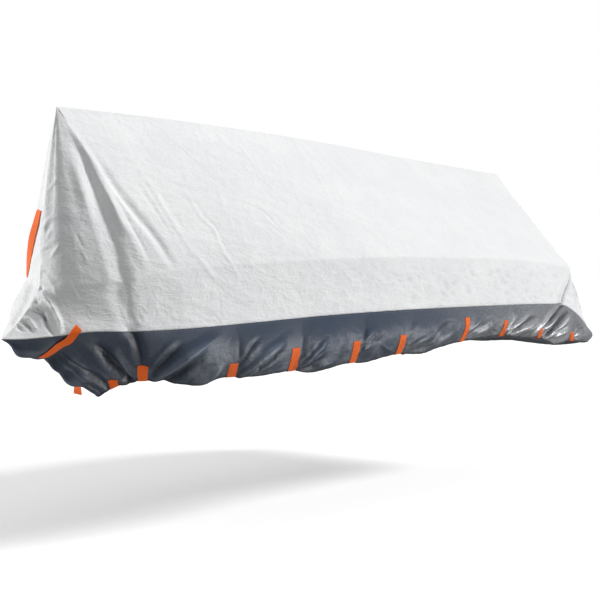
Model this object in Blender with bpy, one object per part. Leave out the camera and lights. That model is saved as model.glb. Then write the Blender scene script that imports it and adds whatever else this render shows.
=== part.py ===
"""Fitted cover of an open motor boat, drawn over a tall windscreen and tied in under the hull's rim.

Two pale grey top panels meet on the ridge. Two navy skirt panels are sewn below them and turned
in at the hem. Short orange webbing straps are sewn down the skirt, one runs across the bow and
one down the front of the peak. The tables give X aft of the nose, Y out from the middle and Z
above the lowest hem; the model's origin is under the ridge, +X aft and -Y port.
"""

from collections import namedtuple
from itertools import product
from math import cos, pi, radians, sin

import bpy
import numpy as np
from mathutils import Vector
from mathutils.bvhtree import BVHTree

CLOTH = 0.0024
WEBBING = 0.0018
SEAM_GAP = 0.0003
STRAP_GAP = 0.0005
STRAP_WIDTH = 0.058
BOW_STRAP_WIDTH = 0.050
LAID_GAP = 0.0009
HEM_TURN_IN = 0.050
HEM_TURN_UP = 0.020
LOOSE_END = 0.125
LOOSE_END_OUT = 0.003
LOOSE_END_TWIST = radians(40)
SUPPORT_X = 2.65

CELL = 0.070
LAID_CELL = 0.012
LAID_ACROSS = 5
LAID_SMOOTHING = 6
ROOF_ROWS = 7
SIDE_ROWS = 3
UPPER_ROWS = 6
STRAP_ROWS = 3
HEM_ROW = ROOF_ROWS + SIDE_ROWS + UPPER_ROWS + STRAP_ROWS
BORDER_ROW = ROOF_ROWS + SIDE_ROWS
STRAP_ROW = BORDER_ROW + UPPER_ROWS

# The starboard side is as the port one, with flatter folds and a strap that hangs on below the hem.
STARBOARD_FOLDS = 0.7
STARBOARD_LOOSE_STRAP = 2

# The ridge, from the peak over the windscreen to the stern: x, z.
RIDGE = ((0.38, 1.635), (1.15, 1.632), (1.9, 1.614), (2.7, 1.583), (3.6, 1.532), (4.93, 1.466))

# One row for each rib of the cover, nose to stern. The rib falls from the ridge at ridge_x
# through the knee, over the boat's rim at the border between grey and navy, to the hem.
# sag_roof and sag_side draw the cloth in between them, and belly swells the skirt.
Section = namedtuple("Section", "name ridge_x knee border hem sag_roof sag_side belly")
SECTIONS = (
    Section("nose", 0.38, (0.255, 0, 0.64), (0, 0, 0.362), (0.66, 0, 0), -0.018, 0.03, 0),
    Section("nose side", 0.38, (0.27, 0.1, 0.64), (0.075, 0.07, 0.361), (0.667, 0.05, 0.022), -0.018, 0.03, 0),
    Section("flare", 0.38, (0.33, 0.2, 0.645), (0.2, 0.18, 0.374), (0.69, 0.12, 0.062), -0.016, 0.03, 0.01),
    Section("cheek", 0.38, (0.45, 0.31, 0.66), (0.35, 0.31, 0.397), (0.735, 0.25, 0.1), -0.004, 0.02, 0.02),
    Section("shoulder", 0.38, (0.58, 0.4, 0.68), (0.53, 0.445, 0.397), (0.8, 0.385, 0.108), 0.005, 0.01, 0.02),
    Section("fore", 0.38, (0.78, 0.48, 0.715), (0.78, 0.56, 0.403), (0.93, 0.5, 0.112), 0.01, 0.005, 0.03),
    Section("forward", 0.75, (1.13, 0.57, 0.75), (1.15, 0.67, 0.42), (1.2, 0.61, 0.12), 0.015, 0, 0.04),
    Section("ahead", 1.3, (1.6, 0.68, 0.775), (1.65, 0.77, 0.443), (1.66, 0.715, 0.13), 0.012, 0, 0.04),
    Section("mid", 2.1, (2.25, 0.78, 0.793), (2.3, 0.85, 0.457), (2.27, 0.797, 0.165), 0.008, 0, 0.04),
    Section("beam", 2.95, (2.98, 0.812, 0.79), (3, 0.88, 0.457), (2.95, 0.828, 0.212), 0.008, 0, 0.04),
    Section("aft", 3.85, (3.75, 0.79, 0.773), (3.75, 0.865, 0.448), (3.68, 0.822, 0.23), 0.008, 0, 0.035),
    Section("quarter", 4.7, (4.45, 0.735, 0.74), (4.38, 0.83, 0.433), (4.3, 0.795, 0.185), 0.005, 0, 0.03),
    Section("crease", 4.88, (4.8, 0.7, 0.708), (4.56, 0.815, 0.425), (4.5, 0.79, 0.165), 0, 0, 0.03),
    Section("corner", 4.93, (4.96, 0.655, 0.697), (4.9, 0.8, 0.3), (4.86, 0.8, 0.13), 0.015, 0, 0.03),
    Section("tail", 4.93, (5.02, 0.52, 0.7), (5.14, 0.72, 0.19), (5.13, 0.73, 0.13), 0.015, 0, 0.02),
    Section("transom", 4.93, (5.05, 0.3, 0.71), (5.19, 0.4, 0.21), (5.18, 0.4, 0.09), 0.01, 0, 0.02),
    Section("stern", 4.93, (5.06, 0, 0.71), (5.2, 0, 0.21), (5.19, 0, 0.09), 0.01, 0, 0.02),
)

# One row for each short strap, bow to stern: its place along the cover at its upper end and at
# the hem, how far down the skirt it starts, and the bay after it: how far that hangs, where its
# lowest point is between the two straps, and how far it swells.
Strap = namedtuple("Strap", "upper hem start sag lowest swell")
STRAPS = (
    Strap(0.224, 0.182, 0.873, 0.02, 0.5, 0.02),
    Strap(0.481, 0.406, 0.664, 0.033, 0.45, 0.03),
    Strap(1.044, 1.044, 0.722, 0.014, 0.3, 0.022),
    Strap(1.475, 1.491, 0.537, 0.025, 0.32, 0.028),
    Strap(1.955, 1.99, 0.537, 0.015, 0.25, 0.018),
    Strap(2.386, 2.428, 0.537, 0.034, 0.35, 0.03),
    Strap(3.065, 3.132, 0.282, 0.004, 0.4, 0.012),
    Strap(3.596, 3.67, 0.467, 0.018, 0.48, 0.024),
    Strap(4.192, 4.242, 0.722, 0.045, 0.52, 0.03),
    Strap(4.656, 4.723, 0.71, 0.03, 0.4, 0.02),
)

# The main folds. Each point has its place along the cover, its place down it (0 ridge, 1 knee,
# 2 border, 3 hem) and how far the cloth stands out there, below zero in a valley.
Fold = namedtuple("Fold", "name half_width points")
FOLDS = (
    Fold("peak valley", 0.08, ((0.66, 0.1, 0), (0.6, 0.36, -0.022), (0.54, 0.6, -0.026), (0.497, 0.85, -0.022),
                               (0.456, 1.17, -0.014), (0.505, 1.61, -0.012), (0.539, 2, -0.01))),
    Fold("peak ridge", 0.05, ((0.7, 0.08, 0), (0.74, 0.25, 0.01), (0.68, 0.45, 0.013), (0.655, 0.72, 0.01),
                              (0.65, 1, 0))),
    Fold("second valley", 0.045, ((0.8, 0.22, 0), (0.795, 0.5, -0.01), (0.82, 0.8, -0.01), (0.8, 1, 0))),
    Fold("front streak", 0.06, ((0.43, 0.22, 0), (0.41, 0.45, 0.012), (0.37, 0.7, 0))),
    Fold("skirt valley", 0.045, ((0.53, 2, -0.008), (0.53, 2.2, -0.014), (0.48, 2.63, -0.008))),
    Fold("nose pouch", 0.09, ((0, 2.2, 0.034), (0.1, 2.18, 0.024), (0.16, 2.2, 0))),
    Fold("nose notch", 0.08, ((0, 2.44, -0.036), (0.08, 2.38, -0.026), (0.18, 2.24, -0.006))),
    Fold("chin", 0.1, ((0, 2.72, 0.03), (0.1, 2.7, 0.018), (0.16, 2.7, 0))),
    Fold("bow valley", 0.055, ((0.331, 2.15, 0), (0.328, 2.45, -0.032), (0.3, 2.92, -0.04))),
    Fold("bow tube", 0.045, ((0.27, 2.3, 0), (0.27, 2.6, 0.016), (0.26, 2.92, 0.01))),
    Fold("bow tube aft", 0.045, ((0.4, 2.25, 0), (0.38, 2.55, 0.014), (0.36, 2.85, 0.008))),
    Fold("bow under valley", 0.04, ((0.17, 2.55, 0), (0.16, 2.75, -0.014), (0.14, 2.95, -0.016))),
    Fold("second bay ridge", 0.065, ((0.5, 2.92, 0.012), (0.72, 2.52, 0.024), (0.98, 2.14, 0))),
    Fold("second bay valley", 0.05, ((0.54, 2.99, -0.014), (0.7, 2.78, -0.018), (0.86, 2.5, 0))),
    Fold("second bay upper valley", 0.045, ((0.47, 2.92, -0.012), (0.62, 2.56, -0.01), (0.75, 2.21, 0))),
    Fold("second bay belly", 0.06, ((0.75, 3, 0.006), (0.89, 2.9, 0.018), (0.98, 2.68, 0.004))),
    Fold("third bay ridge", 0.05, ((1.12, 2.98, 0.01), (1.28, 2.58, 0.02), (1.45, 2.25, 0))),
    Fold("third bay valley", 0.045, ((1.14, 2.99, -0.01), (1.28, 2.74, -0.013), (1.41, 2.54, 0))),
    Fold("fourth bay ridge", 0.042, ((1.53, 2.92, 0.01), (1.62, 2.72, 0.016), (1.7, 2.44, 0))),
    Fold("fourth bay valley", 0.042, ((1.54, 2.98, -0.01), (1.66, 2.84, -0.012), (1.76, 2.66, 0))),
    Fold("sixth bay ridge", 0.042, ((2.49, 2.95, 0.008), (2.57, 2.72, 0.015), (2.7, 2.56, 0))),
    Fold("sixth bay valley", 0.042, ((2.52, 2.98, -0.008), (2.64, 2.88, -0.016), (2.78, 2.8, 0))),
    Fold("sixth bay belly", 0.05, ((2.68, 2.95, 0.006), (2.82, 2.76, 0.014), (2.96, 2.62, 0))),
    Fold("sixth bay dent", 0.05, ((2.76, 2.62, 0), (2.85, 2.47, -0.014), (2.98, 2.38, 0))),
    Fold("eighth bay ridge", 0.045, ((3.71, 2.86, 0.008), (3.79, 2.52, 0.014), (4.03, 2.2, 0))),
    Fold("eighth bay valley", 0.042, ((3.73, 2.95, -0.01), (3.86, 2.56, -0.015), (4.04, 2.33, 0))),
    Fold("eighth bay belly", 0.045, ((3.8, 2.95, 0.006), (3.92, 2.76, 0.012), (4.06, 2.62, 0))),
    Fold("corner band", 0.042, ((4.44, 2.04, 0.006), (4.2, 2.4, 0.016), (4.11, 2.9, 0.008))),
    Fold("corner valley", 0.042, ((4.5, 2.03, -0.01), (4.36, 2.28, -0.014), (4.21, 2.68, -0.006))),
    Fold("corner second valley", 0.042, ((4.56, 2.13, -0.004), (4.41, 2.4, -0.016), (4.3, 2.92, -0.014))),
    Fold("corner third ridge", 0.042, ((4.58, 2.28, 0), (4.44, 2.56, 0.012), (4.36, 2.94, 0.004))),
    Fold("stern crease", 0.05, ((4.63, 0.96, 0), (4.61, 1.3, -0.016), (4.56, 1.62, -0.014), (4.49, 2, -0.008))),
)

# The starboard bow alone swells forward between the knee and the border.
STARBOARD_SWELLS = (
    Fold("starboard bow swell", 0.18, ((0.24, 0.8, 0), (0.24, 1.05, 0.035), (0.21, 1.45, 0.085),
                                       (0.16, 1.84, 0.055))),
)

# Straps laid across the cloth: points along the cover and down it.
BOW_STRAP = ((0.305, 1.905), (0.253, 2.05), (0.175, 2.155), (0.104, 2.225), (0.055, 2.285))
FRONT_STRAP = ((0.05, 0.58), (0.09, 0.76), (0.17, 0.95))

GREY = (0.800, 0.812, 0.820)
NAVY = (0.034, 0.046, 0.066)
ORANGE = (0.800, 0.130, 0.016)


def table_column(name):
    return np.array([getattr(section, name) for section in SECTIONS])


KNEES, BORDERS, HEMS = (table_column(name) for name in ("knee", "border", "hem"))
STEPS = np.linalg.norm(np.diff((BORDERS + HEMS) / 2, axis=0), axis=1)
STATIONS = np.concatenate([[0.0], np.cumsum(STEPS)])
LAST = STATIONS[-1]


def slopes(knots, values):
    """Slopes of a smooth curve through the rows of values, at uneven knots."""
    steps = np.diff(knots)[:, None]
    rates = np.diff(values, axis=0) / steps
    share = steps[1:] / (steps[:-1] + steps[1:])
    inner = rates[:-1] * share + rates[1:] * (1 - share)
    return np.concatenate([rates[:1], inner, rates[-1:]])


def smooth_curve(knots, values, slope, at):
    """The curve's rows at the given places, with a cubic between each two knots."""
    at = np.clip(np.atleast_1d(at), knots[0], knots[-1])
    i = np.clip(np.searchsorted(knots, at, side="right") - 1, 0, len(knots) - 2)
    step = (knots[i + 1] - knots[i])[:, None]
    u = (at - knots[i])[:, None] / step
    rise = u * u * (3 - 2 * u)
    start, end = u * (1 - u) ** 2 * step, u * u * (u - 1) * step
    return values[i] * (1 - rise) + values[i + 1] * rise + slope[i] * start + slope[i + 1] * end


def rail(values, at):
    """A rail or a sag along the cover, square to the middle plane at the nose and the stern."""
    slope = slopes(STATIONS, values)
    across = values.shape[1] == 3
    for end in (0, -1):
        slope[end] = slope[end] * (0, 1, 0) if across else 0
    return smooth_curve(STATIONS, values, slope, at)


def ridge(at):
    x = np.interp(at, STATIONS, table_column("ridge_x"))
    knots, heights = np.array(RIDGE).T
    z = smooth_curve(knots, heights[:, None], slopes(knots, heights[:, None]), x)[:, 0]
    return np.stack([x, 0 * x, z], axis=1)


def unit(vectors):
    return vectors / np.maximum(np.linalg.norm(vectors, axis=-1, keepdims=True), 1e-9)


def outward(at):
    """Level direction out of the cover, from the run of its border."""
    step = 0.0001
    run = rail(BORDERS, np.clip(at + step, 0, LAST)) - rail(BORDERS, np.clip(at - step, 0, LAST))
    return unit(np.stack([-run[:, 1], run[:, 0], 0 * run[:, 0]], axis=1))


def smooth_step(u):
    u = np.clip(u, 0, 1)
    return u * u * (3 - 2 * u)


def surface(along, down):
    """Points of the cloth without its folds, at places along the cover and down it, of any shape."""
    along, down = np.broadcast_arrays(np.asarray(along, float), np.asarray(down, float))
    s, v = along.ravel(), down.ravel()[:, None]
    knots = [ridge(s), rail(KNEES, s), rail(BORDERS, s), rail(HEMS, s)]
    sags = [-table_column("sag_roof"), -table_column("sag_side"), table_column("belly")]
    panel = np.clip(np.floor(v[:, 0]), 0, 2).astype(int)
    rows = np.arange(len(s))
    start, end = np.stack(knots)[panel, rows], np.stack(knots)[panel + 1, rows]
    swell = np.concatenate([rail(sag[:, None], s) for sag in sags], axis=1)[rows, panel]
    w = v - panel[:, None]
    line = unit(end - start)
    out = outward(s)
    out = unit(out - (out * line).sum(axis=1, keepdims=True) * line)
    points = start + (end - start) * w + out * swell[:, None] * np.sin(pi * w)
    return points.reshape(along.shape + (3,))


def metres_per_step(s, v):
    step = 0.004
    return np.linalg.norm(surface(s + step, v) - surface(s - step, v)) / (2 * step)


def strap_edges(strap):
    """The strap's two edges: (at its upper end, at the hem)."""
    upper = STRAP_WIDTH / 2 / metres_per_step(strap.upper, 2 + strap.start)
    hem = STRAP_WIDTH / 2 / metres_per_step(strap.hem, 3)
    return [(strap.upper + side * upper, strap.hem + side * hem) for side in (-1, 1)]


def columns():
    """Places of the grid's columns at the border and at the hem, and the first column of each strap."""
    stops = [(0.0, 0.0)]
    for strap in STRAPS:
        stops += strap_edges(strap)
    stops.append((LAST, LAST))
    upper, hem, firsts = [0.0], [0.0], []
    for k, (start, end) in enumerate(zip(stops, stops[1:])):
        on_strap = k % 2
        if on_strap:
            firsts.append(len(upper) - 1)
        count = 1 if on_strap else round((end[0] - start[0]) / CELL)
        shares = np.arange(1, count + 1) / count
        upper += list(start[0] + (end[0] - start[0]) * shares)
        hem += list(start[1] + (end[1] - start[1]) * shares)
    return np.array(upper), np.array(hem), firsts


def strap_starts(upper):
    """How far down the skirt each column's row of strap ends lies."""
    places = [0.0] + [edge[0] for strap in STRAPS for edge in strap_edges(strap)] + [LAST]
    starts = [0.75] + [strap.start for strap in STRAPS for _ in range(2)] + [0.60]
    return np.interp(upper, places, starts)


def grid_places():
    """Places along and down of the grid, a row for each level from the ridge to the hem."""
    upper, hem, _ = columns()
    starts = strap_starts(upper)
    along, down = [], []
    for v in [j / ROOF_ROWS for j in range(ROOF_ROWS)] + [1 + j / SIDE_ROWS for j in range(SIDE_ROWS)]:
        along.append(upper)
        down.append(0 * upper + v)
    for j in range(UPPER_ROWS):
        along.append(upper)
        down.append(2 + starts * j / UPPER_ROWS)
    for j in range(STRAP_ROWS + 1):
        share = j / STRAP_ROWS
        along.append(upper + (hem - upper) * share)
        down.append(2 + starts + (1 - starts) * share)
    return np.array(along), np.array(down)


def bay_shape(along):
    """How far the hem hangs and the skirt swells at each place: nothing on the straps."""
    hang, swell = 0 * along, 0 * along
    edges = [strap_edges(strap) for strap in STRAPS]
    for k, strap in enumerate(STRAPS):
        start = edges[k][1][1]
        end = edges[k + 1][0][1] if k + 1 < len(STRAPS) else LAST + 0.2
        u = np.clip((along - start) / (end - start), 0, 1)
        shape = np.sin(pi * u ** (np.log(0.5) / np.log(strap.lowest))) ** 1.3
        hang = hang + strap.sag * shape
        swell = swell + strap.swell * shape
    return hang, swell


def hung(points, along, down):
    """The points with the skirt hanging and swelling between its straps."""
    shape = along.shape
    w = np.clip(down - 2, 0, 1)[..., None]
    hang, swell = (amount[..., None] for amount in bay_shape(along))
    s = along.ravel()
    fall = unit(rail(HEMS, s) - rail(BORDERS, s)).reshape(shape + (3,))
    out = outward(s).reshape(shape + (3,))
    return points + fall * hang * w**2 + out * swell * np.sin(pi * w**1.3)


def fold_depths(points, folds):
    """How far the folds move each point out."""
    depths = np.zeros(points.shape[:-1])
    for fold in folds:
        places = np.array(fold.points)
        path = surface(places[:, 0], places[:, 1])
        nearest = np.full(depths.shape, np.inf)
        depth = np.zeros(depths.shape)
        for k in range(len(path) - 1):
            line = path[k + 1] - path[k]
            share = np.clip((points - path[k]) @ line / (line @ line), 0, 1)
            distance = np.linalg.norm(points - path[k] - share[..., None] * line, axis=-1)
            closer = distance < nearest
            nearest = np.where(closer, distance, nearest)
            here = places[k, 2] + (places[k + 1, 2] - places[k, 2]) * share
            depth = np.where(closer, here, depth)
        depths += depth * (1 - smooth_step(nearest / fold.half_width))
    return depths


def side_depths(points, side):
    """How far the cloth of one side stands out at each point; both sides agree at the middle."""
    depths = fold_depths(points, FOLDS)
    if side < 0:
        return depths
    depths *= 1 - (1 - STARBOARD_FOLDS) * smooth_step(points[..., 1] / 0.2)
    return depths + fold_depths(points, STARBOARD_SWELLS) * smooth_step(points[..., 1] / 0.1)


def grid_normals(points):
    """Outward normals of a grid whose rows run down and whose columns run aft, Y counted outwards."""
    across = points[1:, 1:] - points[:-1, :-1]
    other = points[:-1, 1:] - points[1:, :-1]
    faces = np.cross(other, across)
    total = np.zeros(points.shape)
    for rows in (slice(0, -1), slice(1, None)):
        for cols in (slice(0, -1), slice(1, None)):
            total[rows, cols] += faces
    total[:, [0, -1], 1] = 0
    total[0, :, 1] = 0
    for end in (points[0, 0], points[0, -1]):
        fan = np.linalg.norm(points[0] - end, axis=1) < 1e-6
        total[0, fan] = total[0, fan].sum(axis=0)
    return unit(total)


def turned_in(points, along):
    """The points with two more rows, where the hem is turned in and up."""
    narrow = 0.3 + 0.7 * smooth_step(along[-1] / 0.35)
    inwards = -outward(along[-1]) * HEM_TURN_IN * narrow[:, None]
    up = np.array((0, 0, HEM_TURN_UP))
    rows = [points[-1] + inwards * 0.4 - up * 0.2, points[-1] + inwards + up]
    return np.concatenate([points, rows])


def side_grid(side):
    """Middle points and normals of one side's cloth, still with Y counted outwards."""
    along, down = grid_places()
    flat = surface(along, down)
    points = hung(flat, along, down)
    points += grid_normals(points) * side_depths(flat, side)[..., None]
    points = turned_in(points, along)
    return points, grid_normals(points)


def seam_shift(points, normals, row):
    """Half of the sewn gap below the border, as a step down the cloth at each column."""
    run = np.gradient(points[row], axis=0)
    return unit(np.cross(normals[row], run)) * SEAM_GAP / 2


def placed(points, side):
    """From the tables' measures to the model's, on the given side."""
    support_z = ridge(np.interp([SUPPORT_X], table_column("ridge_x")[5:13], STATIONS[5:13]))[0, 2]
    flip = np.array((1, side, 1))
    return points * flip - np.array((SUPPORT_X, 0, support_z - CLOTH / 2))


def split_at_middle(points, seams):
    """Holds the seams' points half a sewn gap off the middle plane."""
    points = points.copy()
    points[seams] = points[seams] * (1, 0, 1) + np.array((0, SEAM_GAP / 2, 0))
    return points


def sheet_faces(rows, cols):
    """Triangles of a closed sheet of two grids, the outer one first, with a rim on all four edges."""
    index = np.arange(2 * rows * cols).reshape(2, rows, cols)
    faces = []

    def quad(a, b, c, d):
        faces.extend(((a, b, c), (a, c, d)))

    for j in range(rows - 1):
        for i in range(cols - 1):
            quad(index[0, j, i], index[0, j + 1, i], index[0, j + 1, i + 1], index[0, j, i + 1])
            a, b, c, d = index[1, j, i], index[1, j + 1, i], index[1, j + 1, i + 1], index[1, j, i + 1]
            faces.extend(((a, c, b), (a, d, c)))
    outer = index[0]
    loop = [*outer[:, 0], *outer[-1, 1:], *outer[-2::-1, -1], *outer[0, -2:0:-1]]
    back = rows * cols
    for a, b in zip(loop, loop[1:] + loop[:1]):
        quad(b, a, a + back, b + back)
    return faces


def add_object(name, points, faces, side, material):
    """A mesh object, its doubled points made one and its faces turned outwards."""
    seen = {}
    index = [seen.setdefault(tuple(np.round(point, 7)), len(seen)) for point in points]
    kept = [[index[k] for k in face] for face in faces]
    kept = [face if side < 0 else face[::-1] for face in kept if len(set(face)) == 3]
    mesh = bpy.data.meshes.new(name)
    mesh.from_pydata(list(seen), [], kept)
    mesh.materials.append(material)
    obj = bpy.data.objects.new(name, mesh)
    collection.objects.link(obj)
    return obj


def add_sheet(name, outer, inner, side, material):
    """A closed sheet between two grids of points."""
    rows, cols = outer.shape[:2]
    points = np.concatenate([placed(outer, side).reshape(-1, 3), placed(inner, side).reshape(-1, 3)])
    return add_object(name, points, sheet_faces(rows, cols), side, material)


def add_panel(name, points, normals, rows, side, material):
    """One panel of cloth: the given rows of a side's grid, with its border edge drawn back."""
    points, normals = points.copy(), normals
    points[BORDER_ROW] += seam_shift(points, normals, BORDER_ROW) * (1 if rows.start else -1)
    seams = np.zeros(points.shape[:2], bool)
    seams[:, [0, -1]] = True
    seams[0] = True
    skins = [split_at_middle(points + normals * CLOTH / 2 * way, seams)[rows] for way in (1, -1)]
    return add_sheet(name, skins[0], skins[1], side, material)


def turned(vectors, angle):
    """The vectors turned about the vertical."""
    return vectors @ np.array(((cos(angle), sin(angle), 0), (-sin(angle), cos(angle), 0), (0, 0, 1)))


def hanging(inner, away):
    """A strap's rows and normals with the two past the hem hanging down and twisting, not turned in."""
    inner, away = inner.copy(), away.copy()
    away[-3] = unit(away[-3] * (1, 1, 0))
    middle = inner[-3].mean(axis=0)
    for row, share in ((-2, 0.5), (-1, 1)):
        angle = LOOSE_END_TWIST * share
        away[row] = turned(away[-3], angle)
        drop = away[-3].mean(axis=0) * LOOSE_END_OUT - np.array((0, 0, LOOSE_END * share))
        inner[row] = middle + turned(inner[-3] - middle, angle) + drop
    return inner, away


def add_short_strap(name, points, normals, first, side, material, loose):
    """A strap sewn down the skirt from its row of strap ends, and turned in with the hem unless loose."""
    rows, cols = slice(STRAP_ROW, None), slice(first, first + 2)
    base, away = points[rows, cols], normals[rows, cols]
    inner = base + away * (CLOTH / 2 + STRAP_GAP)
    if loose:
        inner, away = hanging(inner, away)
    return add_sheet(name, inner + away * WEBBING, inner, side, material)


def skin_tree(points, normals):
    """The outer faces of one side's cloth, to lay a strap on."""
    outer = points + normals * CLOTH / 2
    rows, cols = outer.shape[:2]
    faces = [face[::-1] for face in sheet_faces(rows, cols) if max(face) < rows * cols]
    corners = [tuple(point) for point in outer.reshape(-1, 3)]
    return BVHTree.FromPolygons(corners, [tuple(map(int, face)) for face in faces])


def height_above(tree, point, away):
    """How far out a point is from the cloth under it, and the cloth's point."""
    cast = 0.10
    hit = tree.ray_cast(Vector(point + away * cast), Vector(-away))[0]
    if hit is None:
        return 0.0, point
    return float((point - np.array(hit)) @ away), np.array(hit)


def lifted(grid, away, tree):
    """The grid of points raised until no cell of it dips towards a facet's edge below it."""
    grid = grid.copy()
    rows, cols = grid.shape[:2]
    quarters = (0, 0.25, 0.5, 0.75, 1)
    for _ in range(4):
        rise = np.zeros((rows, cols))
        for j in range(rows - 1):
            for i in range(cols - 1):
                a, b, c, d = grid[j, i], grid[j + 1, i], grid[j + 1, i + 1], grid[j, i + 1]
                for u, w in product(quarters, quarters):
                    first, second = (b - a, c - b) if w <= u else (c - d, d - a)
                    point = a + first * u + second * w
                    short = LAID_GAP - height_above(tree, point, away[j])[0]
                    cell = rise[j : j + 2, i : i + 2]
                    np.maximum(cell, short, out=cell)
        grid += away[:, None] * rise[..., None]
    return grid


def add_laid_strap(name, path, width, points, normals, side, material):
    """A strap laid on the cloth along a path, lifted clear of every facet under it."""
    places = np.array(path)
    route = surface(places[:, 0], places[:, 1])
    lengths = np.concatenate([[0.0], np.cumsum(np.linalg.norm(np.diff(route, axis=0), axis=1))])
    count = round(lengths[-1] / LAID_CELL)
    at = np.linspace(0, lengths[-1], count + 1)
    middle = smooth_curve(lengths, route, slopes(lengths, route), at)
    tree = skin_tree(points, normals)
    found = [tree.find_nearest(Vector(point)) for point in middle]
    middle = np.array([tuple(hit[0]) for hit in found])
    away = np.array([tuple(hit[1]) for hit in found])
    reach = LAID_SMOOTHING
    away = unit(np.array([away[max(k - reach, 0) : k + reach + 1].mean(axis=0) for k in range(len(away))]))
    run = unit(np.gradient(middle, axis=0))
    sideways = unit(np.cross(run, away))
    grid = np.zeros((len(middle), LAID_ACROSS, 3))
    for j, start in enumerate(middle):
        for i, share in enumerate(np.linspace(-0.5, 0.5, LAID_ACROSS)):
            grid[j, i] = height_above(tree, start + sideways[j] * share * width, away[j])[1]
    inner = lifted(grid, away, tree)
    outer = inner + away[:, None] * WEBBING
    return add_sheet(name, outer, inner, side, material)


def make_material(name, color, roughness):
    material = bpy.data.materials.new(name)
    material.use_nodes = True
    shader = material.node_tree.nodes["Principled BSDF"]
    shader.inputs["Base Color"].default_value = (*color, 1)
    shader.inputs["Roughness"].default_value = roughness
    shader.inputs["Metallic"].default_value = 0
    return material


def add_side(word, side, grey, navy, orange):
    """Everything on one side: its two panels and its straps."""
    points, normals = side_grid(side)
    add_panel(f"top_{word}", points, normals, slice(0, BORDER_ROW + 1), side, grey)
    add_panel(f"skirt_{word}", points, normals, slice(BORDER_ROW, None), side, navy)
    for k, first in enumerate(columns()[2], start=1):
        loose = side > 0 and k == STARBOARD_LOOSE_STRAP
        add_short_strap(f"strap_{word}_{k:02d}", points, normals, first, side, orange, loose)
    if side < 0:
        add_laid_strap("bow_strap_port", BOW_STRAP, BOW_STRAP_WIDTH, points, normals, side, orange)
    else:
        add_laid_strap("front_strap", FRONT_STRAP, BOW_STRAP_WIDTH, points, normals, side, orange)


def main():
    grey = make_material("pale grey cover cloth", GREY, 0.75)
    navy = make_material("navy skirt cloth", NAVY, 0.50)
    orange = make_material("orange webbing", ORANGE, 0.65)
    add_side("port", -1, grey, navy, orange)
    add_side("starboard", 1, grey, navy, orange)


for old in list(bpy.data.objects):
    bpy.data.objects.remove(old, do_unlink=True)
collection = bpy.data.collections.new("boat cover")
bpy.context.scene.collection.children.link(collection)
if __name__ == "__main__":
    main()
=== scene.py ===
"""The fitted boat cover's looks: sheets of cloth and webbing on the solids' rails and folds.

The cloth's shape comes from the same tables and functions as the solids, with the photograph's
smaller creases added one by one. The tables give X aft of the nose, Y out from the
middle and Z above the lowest hem, in metres. The model's origin is under the ridge, +X aft and
-Y port.
"""

from collections import namedtuple
from math import cos, pi, radians, sin

import bpy
import numpy as np
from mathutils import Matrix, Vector, noise


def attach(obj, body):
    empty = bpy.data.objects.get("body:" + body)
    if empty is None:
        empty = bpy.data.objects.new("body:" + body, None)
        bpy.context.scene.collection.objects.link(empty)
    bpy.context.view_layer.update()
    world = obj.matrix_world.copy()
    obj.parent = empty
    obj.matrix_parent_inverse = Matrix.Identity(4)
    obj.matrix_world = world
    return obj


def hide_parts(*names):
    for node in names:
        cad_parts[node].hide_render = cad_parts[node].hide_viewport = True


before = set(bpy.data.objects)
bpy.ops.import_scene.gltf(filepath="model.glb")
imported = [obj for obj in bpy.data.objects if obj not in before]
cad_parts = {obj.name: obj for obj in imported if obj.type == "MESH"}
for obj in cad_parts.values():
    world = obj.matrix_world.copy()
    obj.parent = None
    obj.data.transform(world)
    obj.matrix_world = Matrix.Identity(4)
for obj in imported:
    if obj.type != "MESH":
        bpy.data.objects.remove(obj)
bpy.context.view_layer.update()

# Sizes in metres, as the solids have them.
CLOTH = 0.0024
WEBBING = 0.0018
STRAP_WIDTH = 0.058
BOW_STRAP_WIDTH = 0.05
HEM_TURN_IN = 0.05
LOOSE_END = 0.125
LOOSE_END_OUT = 0.003
LOOSE_END_TWIST = radians(40)
LOOSE_END_ROWS = 12
SUPPORT_X = 2.65
CELL = 0.07
# Where straps at the bow's and the stern's middle would start down the skirt.
BOW_START, STERN_START = 0.75, 0.6
# How much of the main folds' depth the starboard side has, and its strap with a loose end.
STARBOARD_FOLDS, STARBOARD_LOOSE_STRAP = 0.7, 2
# How far the straps' under faces stand off the middle of the cloth.
STRAP_LIFT, LAID_LIFT = 0.0012, 0.0026
# The pale cloth's edge over the skirt: rows that rise, how far, and the share left at its end.
EDGE_ROWS, EDGE_RISE, EDGE_END = 3, 0.0008, 0.2

# Fine grid: steps in each of the solids' columns, and rows in each zone of the cloth.
SPLIT = 8
ROOF_ROWS, SIDE_ROWS, UPPER_ROWS, STRAP_ROWS = 94, 42, 40, 32
BORDER_ROW = ROOF_ROWS + SIDE_ROWS
STRAP_ROW = BORDER_ROW + UPPER_ROWS
HEM_ROW = STRAP_ROW + STRAP_ROWS

# The hem's turn, as shares of its depth inwards and metres up. At the nose it's narrower.
TURN = (
    (0.06, -0.003), (0.16, -0.0055), (0.3, -0.006), (0.45, -0.003), (0.62, 0.004), (0.8, 0.012),
    (1, 0.02),
)
NOSE_TURN, NOSE_REACH = 0.3, 0.35

# The ridge's X and Z.
RIDGE = ((0.38, 1.635), (1.15, 1.632), (1.9, 1.614), (2.7, 1.583), (3.6, 1.532), (4.93, 1.466))

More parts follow.
